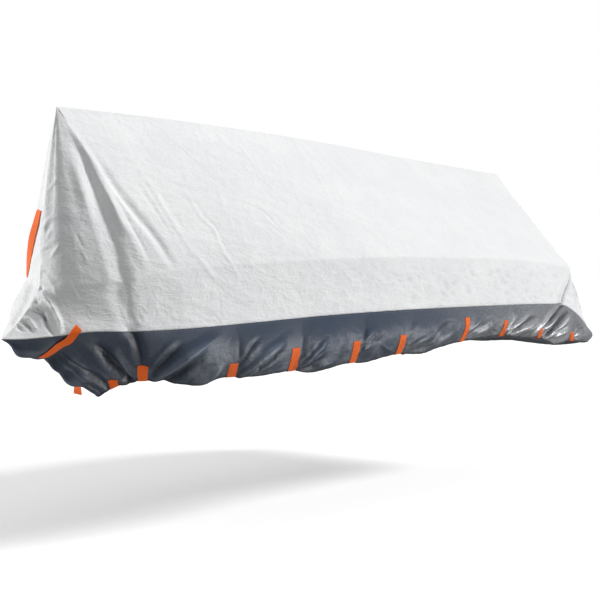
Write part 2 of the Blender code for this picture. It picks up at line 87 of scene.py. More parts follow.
# Places round the cover: the rails' points, and how far the cloth between them sags or swells.
Section = namedtuple("Section", "ridge_x knee border hem sag_roof sag_side belly")
SECTIONS = (
    # the nose and the bow's flare
    Section(0.38, (0.255, 0, 0.64), (0, 0, 0.362), (0.66, 0, 0), -0.018, 0.03, 0),
    Section(0.38, (0.27, 0.1, 0.64), (0.075, 0.07, 0.361), (0.667, 0.05, 0.022), -0.018, 0.03, 0),
    Section(0.38, (0.33, 0.2, 0.645), (0.2, 0.18, 0.374), (0.69, 0.12, 0.062), -0.016, 0.03, 0.01),
    Section(0.38, (0.45, 0.31, 0.66), (0.35, 0.31, 0.397), (0.735, 0.25, 0.1), -0.004, 0.02, 0.02),
    Section(0.38, (0.58, 0.4, 0.68), (0.53, 0.445, 0.397), (0.8, 0.385, 0.108), 0.005, 0.01, 0.02),
    # the sides, bow to stern
    Section(0.38, (0.78, 0.48, 0.715), (0.78, 0.56, 0.403), (0.93, 0.5, 0.112), 0.01, 0.005, 0.03),
    Section(0.75, (1.13, 0.57, 0.75), (1.15, 0.67, 0.42), (1.2, 0.61, 0.12), 0.015, 0, 0.04),
    Section(1.3, (1.6, 0.68, 0.775), (1.65, 0.77, 0.443), (1.66, 0.715, 0.13), 0.012, 0, 0.04),
    Section(2.1, (2.25, 0.78, 0.793), (2.3, 0.85, 0.457), (2.27, 0.797, 0.165), 0.008, 0, 0.04),
    Section(2.95, (2.98, 0.812, 0.79), (3, 0.88, 0.457), (2.95, 0.828, 0.212), 0.008, 0, 0.04),
    Section(3.85, (3.75, 0.79, 0.773), (3.75, 0.865, 0.448), (3.68, 0.822, 0.23), 0.008, 0, 0.035),
    Section(4.7, (4.45, 0.735, 0.74), (4.38, 0.83, 0.433), (4.3, 0.795, 0.185), 0.005, 0, 0.03),
    # the stern corner and the stern
    Section(4.88, (4.8, 0.7, 0.708), (4.56, 0.815, 0.425), (4.5, 0.79, 0.165), 0, 0, 0.03),
    Section(4.93, (4.96, 0.655, 0.697), (4.9, 0.8, 0.3), (4.86, 0.8, 0.13), 0.015, 0, 0.03),
    Section(4.93, (5.02, 0.52, 0.7), (5.14, 0.72, 0.19), (5.13, 0.73, 0.13), 0.015, 0, 0.02),
    Section(4.93, (5.05, 0.3, 0.71), (5.19, 0.4, 0.21), (5.18, 0.4, 0.09), 0.01, 0, 0.02),
    Section(4.93, (5.06, 0, 0.71), (5.2, 0, 0.21), (5.19, 0, 0.09), 0.01, 0, 0.02),
)

# Hem straps: metres along the cover at their upper end and at the hem, how far down the skirt they
# start, and for the bay aft of each how far its hem hangs, where it is lowest and how it swells.
Strap = namedtuple("Strap", "upper hem start sag lowest swell")
STRAPS = (
    Strap(0.224, 0.182, 0.873, 0.02, 0.5, 0.02),
    Strap(0.481, 0.406, 0.664, 0.033, 0.45, 0.03),
    Strap(1.044, 1.044, 0.722, 0.014, 0.3, 0.022),
    Strap(1.475, 1.491, 0.537, 0.025, 0.32, 0.028),
    Strap(1.955, 1.99, 0.537, 0.015, 0.25, 0.018),
    Strap(2.386, 2.428, 0.537, 0.034, 0.35, 0.03),
    Strap(3.065, 3.132, 0.282, 0.004, 0.4, 0.012),
    Strap(3.596, 3.67, 0.467, 0.018, 0.48, 0.024),
    Strap(4.192, 4.242, 0.722, 0.045, 0.52, 0.03),
    Strap(4.656, 4.723, 0.71, 0.03, 0.4, 0.02),
)

# Folds: half width in millimetres, then points of metres along the cover, place down it (0 ridge,
# 1 knee, 2 border, 3 hem) and how many millimetres the cloth stands out, below zero in a valley.
# The solids' own folds.
FOLDS = (
    (80, ((0.66, 0.1, 0), (0.6, 0.36, -19), (0.54, 0.6, -21), (0.497, 0.85, -19),
        (0.456, 1.17, -14), (0.505, 1.61, -12), (0.539, 2, -10))),
    (50, ((0.7, 0.08, 0), (0.74, 0.25, 10), (0.68, 0.45, 13), (0.655, 0.72, 10), (0.65, 1, 0))),
    (45, ((0.8, 0.22, 0), (0.795, 0.5, -10), (0.82, 0.8, -10), (0.8, 1, 0))),
    (60, ((0.43, 0.22, 0), (0.41, 0.45, 12), (0.37, 0.7, 0))),
    (45, ((0.53, 2, -8), (0.53, 2.2, -14), (0.48, 2.63, -8))),
    (90, ((0, 2.2, 34), (0.1, 2.18, 24), (0.16, 2.2, 0))),
    (80, ((0, 2.44, -36), (0.08, 2.38, -26), (0.18, 2.24, -6))),
    (100, ((0, 2.72, 30), (0.1, 2.7, 18), (0.16, 2.7, 0))),
    (55, ((0.331, 2.15, 0), (0.328, 2.45, -32), (0.3, 2.92, -40))),
    (45, ((0.27, 2.3, 0), (0.27, 2.6, 16), (0.26, 2.92, 10))),
    (45, ((0.4, 2.25, 0), (0.38, 2.55, 14), (0.36, 2.85, 8))),
    (40, ((0.17, 2.55, 0), (0.16, 2.75, -14), (0.14, 2.95, -16))),
    (65, ((0.5, 2.92, 12), (0.72, 2.52, 24), (0.98, 2.14, 0))),
    (50, ((0.54, 2.99, -14), (0.7, 2.78, -18), (0.86, 2.5, 0))),
    (45, ((0.47, 2.92, -12), (0.62, 2.56, -10), (0.75, 2.21, 0))),
    (60, ((0.75, 3, 6), (0.89, 2.9, 18), (0.98, 2.68, 4))),
    (50, ((1.12, 2.98, 10), (1.28, 2.58, 20), (1.45, 2.25, 0))),
    (45, ((1.14, 2.99, -10), (1.28, 2.74, -13), (1.41, 2.54, 0))),
    (42, ((1.53, 2.92, 10), (1.62, 2.72, 16), (1.7, 2.44, 0))),
    (42, ((1.54, 2.98, -10), (1.66, 2.84, -12), (1.76, 2.66, 0))),
    (42, ((2.49, 2.95, 8), (2.57, 2.72, 15), (2.7, 2.56, 0))),
    (42, ((2.52, 2.98, -8), (2.64, 2.88, -16), (2.78, 2.8, 0))),
    (50, ((2.68, 2.95, 6), (2.82, 2.76, 14), (2.96, 2.62, 0))),
    (50, ((2.76, 2.62, 0), (2.85, 2.47, -14), (2.98, 2.38, 0))),
    (45, ((3.71, 2.86, 8), (3.79, 2.52, 14), (4.03, 2.2, 0))),
    (42, ((3.73, 2.95, -10), (3.86, 2.56, -15), (4.04, 2.33, 0))),
    (45, ((3.8, 2.95, 6), (3.92, 2.76, 12), (4.06, 2.62, 0))),
    (42, ((4.44, 2.04, 6), (4.2, 2.4, 16), (4.11, 2.9, 8))),
    (42, ((4.5, 2.03, -10), (4.36, 2.28, -14), (4.21, 2.68, -6))),
    (42, ((4.56, 2.13, -4), (4.41, 2.4, -16), (4.3, 2.92, -14))),
    (42, ((4.58, 2.28, 0), (4.44, 2.56, 12), (4.36, 2.94, 4))),
    (50, ((4.63, 0.96, 0), (4.61, 1.3, -16), (4.56, 1.62, -14), (4.49, 2, -8))),
)

# Swells of the starboard side alone.
STARBOARD_SWELLS = (
    (180, ((0.24, 0.8, 0), (0.24, 1.05, 35), (0.21, 1.45, 85), (0.16, 1.84, 55))),
)

# Finer creases of the pale top: the peak's valleys and ridges, streaks down the slope, arcs.
TOP_CREASES = (
    (32, ((0.604, 0.1, 0), (0.61, 0.23, -4), (0.636, 0.31, -5), (0.604, 0.42, -5),
        (0.558, 0.59, -5), (0.532, 0.71, -5), (0.526, 0.84, -4), (0.487, 0.96, -4),
        (0.519, 1.32, -4), (0.526, 1.66, -3), (0.54, 2, 0))),
    (30, ((0.656, 0.09, 0), (0.766, 0.19, 2), (0.74, 0.28, 3), (0.688, 0.39, 3), (0.669, 0.53, 3),
        (0.656, 0.66, 3), (0.662, 0.76, 3), (0.649, 0.99, 0))),
    (30, ((0.798, 0.27, 0), (0.798, 0.41, -3), (0.792, 0.54, -4), (0.805, 0.67, -4),
        (0.824, 0.75, -4), (0.818, 0.87, -3), (0.805, 1, 0))),
    (16, ((0.708, 0.59, 0), (0.688, 0.73, 2.8), (0.682, 0.82, 2.8), (0.662, 0.94, 0))),
    (16, ((0.728, 0.59, 0), (0.712, 0.73, -2.1), (0.708, 0.82, -2.1), (0.69, 0.94, 0))),
    (16, ((0.987, 0.4, 0), (0.967, 0.56, 2.8), (0.954, 0.68, 2.8), (0.935, 0.84, 0))),
    (20, ((0.955, 0.38, 0), (0.94, 0.56, -2.1), (0.93, 0.68, -2.1), (0.91, 0.82, 0))),
    (34, ((0.98, 0.84, 0), (0.98, 0.94, 3.5), (1, 1.134, 3.5), (1.039, 1.294, 0))),
    (35, ((1.03, 0.35, 0), (1.02, 0.48, 3.5), (1, 0.63, 4.2), (0.967, 0.87, 2.8), (0.915, 1, 0))),
    (20, ((1.422, 0.09, 0), (1.454, 0.2, 2.1), (1.474, 0.25, 2.1), (1.5, 0.33, 0))),
    (20, ((1.24, 0.46, 0), (1.194, 0.66, 2.8), (1.207, 0.72, 2.8), (1.214, 0.77, 2.8),
        (1.169, 0.88, 3.5), (1.149, 1.03, 2.8), (1.207, 1.385, 0))),
    (18, ((1.27, 0.5, 0), (1.225, 0.66, -2.1), (1.24, 0.76, -2.1), (1.195, 0.88, -2.1),
        (1.2, 1, 0))),
    (16, ((1.169, 0.81, 0), (1.143, 0.91, 2.8), (1.162, 0.96, 0))),
    (20, ((1.928, 0.06, 0), (1.909, 0.2, 3.5), (1.896, 0.3, 3.5), (1.85, 0.41, 0))),
    (18, ((1.675, 0.02, 0), (1.649, 0.09, 2.8), (1.61, 0.17, 0))),
    (18, ((1.811, 0.03, 0), (1.818, 0.1, 2.8), (1.785, 0.17, 0))),
    (14, ((1.441, 0.56, 0), (1.565, 0.58, -2.4), (1.655, 0.62, -2.8), (1.688, 0.67, -2.8),
        (1.688, 0.73, -2.8), (1.694, 0.81, -2.1), (1.675, 0.88, 0))),
    (14, ((1.279, 0.76, 0), (1.422, 0.742, -2.1), (1.545, 0.722, -2.8), (1.636, 0.732, -2.8),
        (1.662, 0.773, -2.8), (1.675, 0.833, -2.1), (1.662, 0.893, 0))),
    (16, ((1.415, 0.63, 0), (1.376, 0.72, 2.8), (1.337, 0.8, 0))),
    (14, ((1.428, 0.66, 0), (1.441, 0.72, 2.1), (1.46, 0.76, 0))),
    (20, ((1.558, 0.39, 0), (1.467, 0.51, 2.8), (1.415, 0.62, 0))),
    (14, ((1.629, 0.5, 0), (1.681, 0.532, 2.1), (1.746, 0.52, 0))),
    (18, ((2.434, 0.19, 0), (2.376, 0.34, 2.8), (2.331, 0.46, 2.8), (2.266, 0.59, 0))),
    (18, ((2.525, 0.24, 0), (2.467, 0.39, 2.1), (2.428, 0.49, 2.8), (2.369, 0.61, 0))),
    (12, ((1.13, 0.933, 0), (1.169, 0.983, 3), (1.266, 1.043, 3), (1.35, 1, 0))),
    (12, ((1.22, 0.923, 0), (1.279, 0.963, 3), (1.37, 0.943, 3), (1.539, 0.913, 0))),
    (12, ((1.123, 0.953, 0), (1.117, 1.054, 3), (1.182, 1.154, 0))),
    # the streaks' feet above the border
    (14, ((0.467, 1.4, 0), (0.526, 1.816, 4), (0.545, 1.99, 1))),
    (12, ((0.545, 1.56, 0), (0.571, 1.8, 4), (0.58, 1.9, 0))),
    (12, ((0.578, 1.58, 0), (0.604, 1.81, 3), (0.61, 1.9, 0))),
    # the front face: arcs beside the middle, then slack wrinkles down to the nose
    (16, ((0.01, 0.48, 0), (0.04, 0.44, 5), (0.11, 0.42, 5), (0.18, 0.43, 0))),
    (14, ((0.065, 0.61, 0), (0.019, 0.64, 6), (0.006, 0.69, 6), (0, 0.72, 0))),
    (12, ((0.058, 0.64, 0), (0.026, 0.68, -5), (0.013, 0.72, 0))),
    (12, ((0.078, 0.69, 0), (0.039, 0.71, 6), (0.026, 0.75, 0))),
    (12, ((0.065, 0.77, 0), (0.026, 0.78, 6), (0.006, 0.8, 0))),
    (14, ((0.123, 0.76, 0), (0.104, 0.79, 6), (0.071, 0.82, 6), (0.052, 0.86, 0))),
    (12, ((0.091, 0.8, 0), (0.052, 0.8, -5), (0.019, 0.8, -5), (0.006, 0.83, 0))),
    (14, ((0.013, 0.9, 0), (0.039, 0.93, -6), (0.097, 0.97, -6), (0.136, 0.98, 0))),
    (14, ((0.019, 0.93, 0), (0.084, 1.03, 5), (0.175, 1.39, 0))),
    (14, ((0.052, 1.03, 0), (0.136, 1.27, -5), (0.188, 1.5, 0))),
    (14, ((0.162, 0.94, 0), (0.201, 1.08, 5), (0.26, 1.34, 0))),
    (14, ((0.247, 0.71, 0), (0.266, 0.75, -4), (0.286, 0.81, 0))),
    (14, ((0.253, 0.8, 0), (0.286, 0.85, 4), (0.292, 0.88, 0))),
    (22, ((0, 1, 0), (0.058, 1.15, 18), (0.104, 1.29, 20.3), (0.156, 1.49, 20.3), (0.201, 1.73, 18),
        (0.221, 1.94, 9))),
    (19, ((0.058, 1.34, 0), (0.11, 1.54, -20.3), (0.149, 1.75, -20.3), (0.195, 1.96, -11.2))),
    (16, ((0.032, 1.4, 0), (0.065, 1.45, -15.8), (0.104, 1.54, -15.8), (0.136, 1.66, 0))),
    (16, ((0.01, 1.3, 0), (0.026, 1.34, 15.8), (0.065, 1.41, 15.8), (0.097, 1.49, 0))),
    (16, ((0.019, 1.61, 0), (0.052, 1.68, -18), (0.078, 1.76, -18), (0.11, 1.91, 0))),
    (16, ((0.02, 1.53, 0), (0.052, 1.59, 15.8), (0.078, 1.68, 15.8), (0.123, 1.87, 0))),
    (16, ((0.013, 1.69, 0), (0.039, 1.75, -15.8), (0.071, 1.87, 0))),
    (16, ((0.008, 1.22, 0), (0.032, 1.26, -15.8), (0.065, 1.32, 0))),
    (16, ((0.003, 1.02, 0), (0.012, 1.03, -20.3), (0.039, 1.08, 0))),
    (16, ((0.006, 1.12, 0), (0.019, 1.13, 15.8), (0.058, 1.19, 15.8), (0.097, 1.31, 0))),
)

# Finer creases of the navy skirt, bow to stern.
SKIRT_CREASES = (
    (26, ((0.331, 2.18, 0), (0.331, 2.29, -8), (0.323, 2.51, -12), (0.315, 2.73, -12),
        (0.29, 2.97, -10))),
    (22, ((0.315, 2.3, 0), (0.3, 2.45, 6), (0.282, 2.61, 8), (0.282, 2.91, 6))),
    (22, ((0.389, 2.25, 0), (0.381, 2.55, 7), (0.348, 2.83, 6))),
    (18, ((0.166, 2.6, 0), (0.174, 2.78, -7), (0.157, 2.94, -6))),
    (12, ((0, 2.04, 0), (0.01, 2.09, -7), (0.065, 2.11, -7), (0.11, 2.13, 0))),
    (14, ((0.004, 2.1, 0), (0.026, 2.14, 8.4), (0.084, 2.18, 0))),
    (14, ((0.004, 2.16, 0), (0.019, 2.2, -9.8), (0.04, 2.27, 0))),
    (14, ((0.078, 2.34, 0), (0.078, 2.49, 12.6), (0.078, 2.63, 7))),
    (14, ((0.13, 2.26, 0), (0.136, 2.42, -14), (0.149, 2.63, -14), (0.136, 2.9, -8.4))),
    (12, ((0.162, 2.26, 0), (0.162, 2.44, 11.2), (0.182, 2.68, 7))),
    (12, ((0.032, 2.42, 0), (0.026, 2.53, -12.6), (0.019, 2.66, -7))),
    (16, ((0.325, 2.28, 0), (0.305, 2.56, -16.8), (0.292, 2.76, -16.8), (0.279, 2.93, -9.8))),
    (14, ((0.11, 2.62, 0), (0.11, 2.83, 12.6), (0.104, 2.98, 8.4))),
    (12, ((0.065, 2.66, 0), (0.052, 2.85, -12.6), (0.052, 2.98, -8.4))),
    (30, ((0.53, 2.02, -3.4), (0.53, 2.14, -12.1), (0.497, 2.44, -12.1), (0.464, 2.7, 0))),
    (30, ((0.472, 2.95, -6.9), (0.555, 2.72, -12.1), (0.679, 2.41, -10.3), (0.77, 2.18, 0))),
    (32, ((0.489, 2.92, 6.9), (0.621, 2.69, 12.1), (0.746, 2.48, 12.1), (0.837, 2.35, 8.6),
        (0.99, 2.12, 0))),
    (32, ((0.555, 2.99, -6.9), (0.663, 2.86, -13.8), (0.762, 2.64, -12.1), (0.88, 2.46, 0))),
    (30, ((0.754, 3, 5.2), (0.853, 2.97, 10.3), (0.92, 2.85, 10.3), (0.99, 2.68, 0))),
    (27, ((0.73, 2.15, 0), (0.638, 2.36, 6.9), (0.53, 2.65, 5.2), (0.5, 2.75, 0))),
    (45, ((1.11, 2.93, 4.9), (1.16, 2.79, 14), (1.21, 2.63, 14), (1.27, 2.5, 14), (1.38, 2.38, 0))),
    (30, ((1.08, 2.79, -4.2), (1.11, 2.56, -12), (1.16, 2.37, -12), (1.22, 2.24, 0))),
    (28, ((1.15, 2.91, -3.6), (1.25, 2.83, -10.4), (1.32, 2.69, -10.4), (1.41, 2.54, 0))),
    (20, ((1.08, 2.66, 2.4), (1.11, 2.5, 7), (1.14, 2.38, 0))),
    (18, ((1.52, 2.87, 2.8), (1.54, 2.72, 8), (1.58, 2.62, 0))),
    (18, ((1.53, 2.89, -3.1), (1.56, 2.76, -9), (1.6, 2.67, 0))),
    (26, ((1.54, 2.91, 4.2), (1.57, 2.76, 12), (1.61, 2.63, 12), (1.66, 2.5, 12), (1.7, 2.38, 0))),
    (22, ((1.57, 2.97, -3.5), (1.6, 2.84, -10), (1.63, 2.69, -10), (1.7, 2.59, 0))),
    (40, ((1.68, 2.91, 4.9), (1.75, 2.88, 14), (1.84, 2.89, 0))),
    (16, ((1.58, 2.98, -3.1), (1.63, 2.92, -9), (1.68, 2.91, 0))),
    (22, ((2.09, 2.58, -3.5), (2.14, 2.5, -10), (2.19, 2.39, 0))),
    (26, ((2.17, 2.63, 3.8), (2.26, 2.78, 11), (2.38, 2.95, 0))),
    (22, ((2.02, 2.79, 3.1), (2.04, 2.7, 9), (2.1, 2.65, 0))),
    (40, ((2.01, 2.57, 4.2), (2.05, 2.42, 12), (2.12, 2.28, 0))),
    (22, ((2.48, 2.88, 3.6), (2.52, 2.74, 10.4), (2.56, 2.66, 10.4), (2.65, 2.62, 0))),
    (20, ((2.51, 2.84, -3.5), (2.58, 2.77, -10), (2.66, 2.72, 0))),
    (20, ((2.67, 2.84, 3.8), (2.71, 2.77, 11), (2.74, 2.68, 0))),
    (34, ((2.71, 2.62, -3.9), (2.74, 2.45, -11.2), (2.82, 2.34, -11.2), (2.92, 2.29, 0))),
    (42, ((2.77, 2.73, 3.4), (2.84, 2.63, 9.8), (2.93, 2.54, 0))),
    (40, ((2.43, 2.68, 3.5), (2.46, 2.47, 10), (2.52, 2.28, 0))),
    (36, ((3.14, 2.69, 4.5), (3.19, 2.52, 13), (3.27, 2.28, 0))),
    (26, ((3.18, 2.8, -3.5), (3.23, 2.65, -10), (3.3, 2.46, -10), (3.38, 2.27, 0))),
    (34, ((3.25, 2.88, 3.8), (3.32, 2.71, 11), (3.44, 2.58, 0))),
    (16, ((3.46, 2.75, -8), (3.6, 2.93, 0))),
    (36, ((3.71, 2.82, 4.5), (3.75, 2.62, 12.8), (3.82, 2.4, 12.8), (3.94, 2.23, 0))),
    (30, ((3.76, 2.96, -4.9), (3.81, 2.78, -14.2), (3.86, 2.56, -14.2), (3.93, 2.4, -14.2),
        (4.08, 2.32, 0))),
    (32, ((3.79, 2.95, 4.2), (3.84, 2.77, 12), (3.92, 2.66, 12), (4.03, 2.55, 0))),
    (18, ((3.98, 2.81, -3.8), (4, 2.69, -11), (4.08, 2.59, 0))),
    (46, ((4.47, 1.99, 9), (4.3, 2.18, 19.5), (4.17, 2.44, 19.5), (4.1, 2.71, 15.6),
        (4.08, 2.88, 7.8))),
    (30, ((4.51, 2, -8.5), (4.36, 2.23, -22.1), (4.28, 2.47, -22.1), (4.22, 2.67, -11))),
    (30, ((4.53, 2.08, 4.9), (4.39, 2.33, 14), (4.3, 2.61, 14), (4.26, 2.81, 0))),
    (28, ((4.57, 2.16, -9), (4.43, 2.43, -19.8), (4.36, 2.69, -19.8), (4.32, 2.93, -9.9))),
    (34, ((4.61, 2.21, 4.8), (4.44, 2.5, 13.6), (4.38, 2.71, 13.6), (4.34, 2.88, 0))),
    (24, ((4.51, 2.59, -4.9), (4.4, 2.72, -14), (4.35, 2.9, 0))),
    (26, ((4.57, 2.68, 4.2), (4.47, 2.77, 12), (4.41, 2.9, 0))),
    (18, ((4.7, 2.53, -3.5), (4.74, 2.41, -10), (4.82, 2.26, 0))),
    (18, ((4.74, 2.6, -3.5), (4.79, 2.47, -10), (4.89, 2.3, 0))),
    (18, ((4.74, 2.88, 3.1), (4.78, 2.72, 9), (4.88, 2.51, 0))),
    # the stern corner, above the border
    (34, ((4.65, 1, 0), (4.603, 1.1, 16), (4.492, 1.51, 26), (4.421, 1.91, 20), (4.4, 2.05, 8))),
    (26, ((4.7, 1, 0), (4.674, 1.09, -26), (4.603, 1.35, -38), (4.538, 1.69, -38),
        (4.505, 1.94, -30), (4.49, 2.05, -12))),
    (26, ((4.752, 1.15, 0), (4.765, 1.53, -22), (4.765, 1.85, -10))),
    (28, ((4.784, 1.2, 0), (4.86, 1.5, 20), (4.947, 1.78, 10))),
    (26, ((4.82, 1.12, 0), (4.93, 1.45, -20), (5.04, 1.72, -10))),
    (14, ((4.499, 1.12, 0), (4.395, 1.51, 6), (4.285, 1.86, 0))),
    (14, ((4.453, 1.12, 0), (4.356, 1.46, -5), (4.239, 1.72, 0))),
    (14, ((4.408, 1.14, 0), (4.298, 1.44, 5), (4.142, 1.66, 0))),
)

# Straps laid over the cloth: places along it and down it, how often the strap is softened, and
# how far one edge leans out.
LaidStrap = namedtuple("LaidStrap", "name path tightness lean")
BOW_STRAP = ((0.305, 1.905), (0.253, 2.05), (0.175, 2.155), (0.104, 2.225), (0.055, 2.285))
FRONT_STRAP = ((0.05, 0.58), (0.09, 0.76), (0.17, 0.95))
LAID_STRAPS = {
    -1: LaidStrap("bow_strap_port", BOW_STRAP, 300, 0),
    1: LaidStrap("front_strap", FRONT_STRAP, 700, 0.018),
}
# Their rows' distance, points across and softening, and how many lifts clear the cloth, with
# each one's reach in rows and softening.
LAID_STEP, LAID_POINTS, LAID_SOFTENING = 0.006, 9, 60
LIFTS, LIFT_REACH, LIFT_SOFTENING = 4, 3, 3


# ---- the solids' own shape ----

# How far apart two places are for the cloth's direction, and for the border's.
RATE_STEP, BORDER_STEP = 0.004, 0.0001
# How far the last bay would run past the stern, and the curves of the bays' hang and swell.
LAST_BAY_PAST, BAY_POWER, BELLY_POWER = 0.2, 1.3, 1.3
# Steps between a fold's points, how far along it reaches, and how sharp a crease's top is.
CURVE_STEPS, FOLD_REACH, CRISP_POWER = 4, 0.4, 1.6
# The sections that follow one another along the ridge.
ON_RIDGE = slice(5, 13)


def table_column(name):
    return np.array([getattr(section, name) for section in SECTIONS], float)


KNEES, BORDERS, HEMS = (table_column(name) for name in ("knee", "border", "hem"))
STEPS = np.linalg.norm(np.diff((BORDERS + HEMS) / 2, axis=0), axis=1)
STATIONS = np.concatenate([[0.0], np.cumsum(STEPS)])
LAST = STATIONS[-1]


def slopes(knots, values):
    steps = np.diff(knots)[:, None]
    rates = np.diff(values, axis=0) / steps
    share = steps[1:] / (steps[:-1] + steps[1:])
    inner = rates[:-1] * share + rates[1:] * (1 - share)
    return np.concatenate([rates[:1], inner, rates[-1:]])


def smooth_curve(knots, values, slope, at):
    at = np.clip(np.atleast_1d(at), knots[0], knots[-1])
    i = np.clip(np.searchsorted(knots, at, side="right") - 1, 0, len(knots) - 2)
    step = (knots[i + 1] - knots[i])[:, None]
    u = (at - knots[i])[:, None] / step
    rise = u * u * (3 - 2 * u)
    start, end = u * (1 - u) ** 2 * step, u * u * (u - 1) * step
    return values[i] * (1 - rise) + values[i + 1] * rise + slope[i] * start + slope[i + 1] * end


def rail(values, at):
    """The rail's points or amounts at each place along the cover, level or square to the middle."""
    slope = slopes(STATIONS, values)
    across = values.shape[1] == 3
    for end in (0, -1):
        slope[end] = slope[end] * (0, 1, 0) if across else 0
    return smooth_curve(STATIONS, values, slope, at)


def ridge(at):
    x = np.interp(at, STATIONS, table_column("ridge_x"))
    knots, heights = np.array(RIDGE).T
    z = smooth_curve(knots, heights[:, None], slopes(knots, heights[:, None]), x)[:, 0]
    return np.stack([x, 0 * x, z], axis=1)


def unit(vectors):
    return vectors / np.maximum(np.linalg.norm(vectors, axis=-1, keepdims=True), 1e-9)


def outward(at):
    """Level directions square to the border."""
    before, after = (rail(BORDERS, np.clip(at + k * BORDER_STEP, 0, LAST)) for k in (-1, 1))
    run = after - before
    return unit(np.stack([-run[:, 1], run[:, 0], 0 * run[:, 0]], axis=1))


def smooth_step(u):
    u = np.clip(u, 0, 1)
    return u * u * (3 - 2 * u)


def surface(along, down):
    """The smooth cloth at metres along the cover and panels down it, before bays and folds."""
    along, down = np.broadcast_arrays(np.asarray(along, float), np.asarray(down, float))
    s, v = along.ravel(), down.ravel()[:, None]
    knots = np.stack([ridge(s), rail(KNEES, s), rail(BORDERS, s), rail(HEMS, s)])
    sags = [-table_column("sag_roof"), -table_column("sag_side"), table_column("belly")]
    panel = np.clip(np.floor(v[:, 0]), 0, 2).astype(int)
    rows = np.arange(len(s))
    start, end = knots[panel, rows], knots[panel + 1, rows]
    swell = np.concatenate([rail(sag[:, None], s) for sag in sags], axis=1)[rows, panel]
    w = v - panel[:, None]
    line = unit(end - start)
    out = outward(s)
    out = unit(out - (out * line).sum(axis=1, keepdims=True) * line)
    points = start + (end - start) * w + out * swell[:, None] * np.sin(pi * w)
    return points.reshape(along.shape + (3,))


def metres_per_step(s, v):
    reach = surface(s + RATE_STEP, v) - surface(s - RATE_STEP, v)
    return np.linalg.norm(reach) / (2 * RATE_STEP)


def strap_edges(strap):
    upper = STRAP_WIDTH / 2 / metres_per_step(strap.upper, 2 + strap.start)
    hem = STRAP_WIDTH / 2 / metres_per_step(strap.hem, 3)
    return [(strap.upper + side * upper, strap.hem + side * hem) for side in (-1, 1)]


def columns():
    """The fine grid's columns, at the straps' tops and at the hem, and each strap's first one."""
    stops = [(0.0, 0.0)]
    for strap in STRAPS:
        stops += strap_edges(strap)
    stops.append((LAST, LAST))
    upper, hem, firsts = [0.0], [0.0], []
    for k, (start, end) in enumerate(zip(stops, stops[1:])):
        on_strap = k % 2
        if on_strap:
            firsts.append((len(upper) - 1) * SPLIT)
        count = 1 if on_strap else round((end[0] - start[0]) / CELL)
        shares = np.arange(1, count + 1) / count
        upper += list(start[0] + (end[0] - start[0]) * shares)
        hem += list(start[1] + (end[1] - start[1]) * shares)
    finer = np.arange((len(upper) - 1) * SPLIT + 1) / SPLIT
    places = np.arange(len(upper))
    return np.interp(finer, places, upper), np.interp(finer, places, hem), firsts


def strap_starts(upper):
    places = [0.0] + [edge[0] for strap in STRAPS for edge in strap_edges(strap)] + [LAST]
    starts = [BOW_START] + [strap.start for strap in STRAPS for _ in range(2)] + [STERN_START]
    return np.interp(upper, places, starts)


def grid_places():
    upper, hem, _ = columns()
    starts = strap_starts(upper)
    along, down = [], []
    roof = [j / ROOF_ROWS for j in range(ROOF_ROWS)]
    for v in roof + [1 + j / SIDE_ROWS for j in range(SIDE_ROWS)]:
        along.append(upper)
        down.append(0 * upper + v)
    for j in range(UPPER_ROWS):
        along.append(upper)
        down.append(2 + starts * j / UPPER_ROWS)
    for j in range(STRAP_ROWS + 1):
        share = j / STRAP_ROWS
        along.append(upper + (hem - upper) * share)
        down.append(2 + starts + (1 - starts) * share)
    return np.array(along), np.array(down)


def bay_shape(along):
    """How far the hem hangs and the skirt swells between the straps."""
    hang, swell = 0 * along, 0 * along
    edges = [strap_edges(strap) for strap in STRAPS]
    for k, strap in enumerate(STRAPS):
        start = edges[k][1][1]
        end = edges[k + 1][0][1] if k + 1 < len(STRAPS) else LAST + LAST_BAY_PAST
        u = np.clip((along - start) / (end - start), 0, 1)
        shape = np.sin(pi * u ** (np.log(0.5) / np.log(strap.lowest))) ** BAY_POWER
        hang = hang + strap.sag * shape
        swell = swell + strap.swell * shape
    return hang, swell


def hung(points, along, down):
    shape = along.shape
    w = np.clip(down - 2, 0, 1)[..., None]
    hang, swell = (amount[..., None] for amount in bay_shape(along))
    s = along.ravel()
    fall = unit(rail(HEMS, s) - rail(BORDERS, s)).reshape(shape + (3,))
    out = outward(s).reshape(shape + (3,))
    return points + fall * hang * w**2 + out * swell * np.sin(pi * w**BELLY_POWER)


def fold_depths(points, along, folds, crisp=False):
    """How far the folds move each point out, each along a smooth curve through its places."""
    depths = np.zeros(points.shape[:-1])
    for half_width, places in folds:
        places = np.array(places) / (1, 1, 1000)
        knots = np.arange(len(places))
        at = np.linspace(0, knots[-1], CURVE_STEPS * knots[-1] + 1)
        places = smooth_curve(knots, places, slopes(knots, places), at)
        path = surface(*places[:, :2].T)
        first, last = places[:, 0].min() - FOLD_REACH, places[:, 0].max() + FOLD_REACH
        near = (along > first) & (along < last)
        here = points[near]
        nearest = np.full(len(here), np.inf)
        depth = np.zeros(len(here))
        for k in range(len(path) - 1):
            line = path[k + 1] - path[k]
            share = np.clip((here - path[k]) @ line / (line @ line), 0, 1)
            distance = np.linalg.norm(here - path[k] - share[..., None] * line, axis=-1)
            closer = distance < nearest
            nearest = np.where(closer, distance, nearest)
            here_depth = places[k, 2] + (places[k + 1, 2] - places[k, 2]) * share
            depth = np.where(closer, here_depth, depth)
        share = np.clip(nearest / (half_width / 1000), 0, 1)
        depths[near] += depth * ((1 - share) ** CRISP_POWER if crisp else 1 - smooth_step(share))
    return depths


# ---- the fine cloth ----

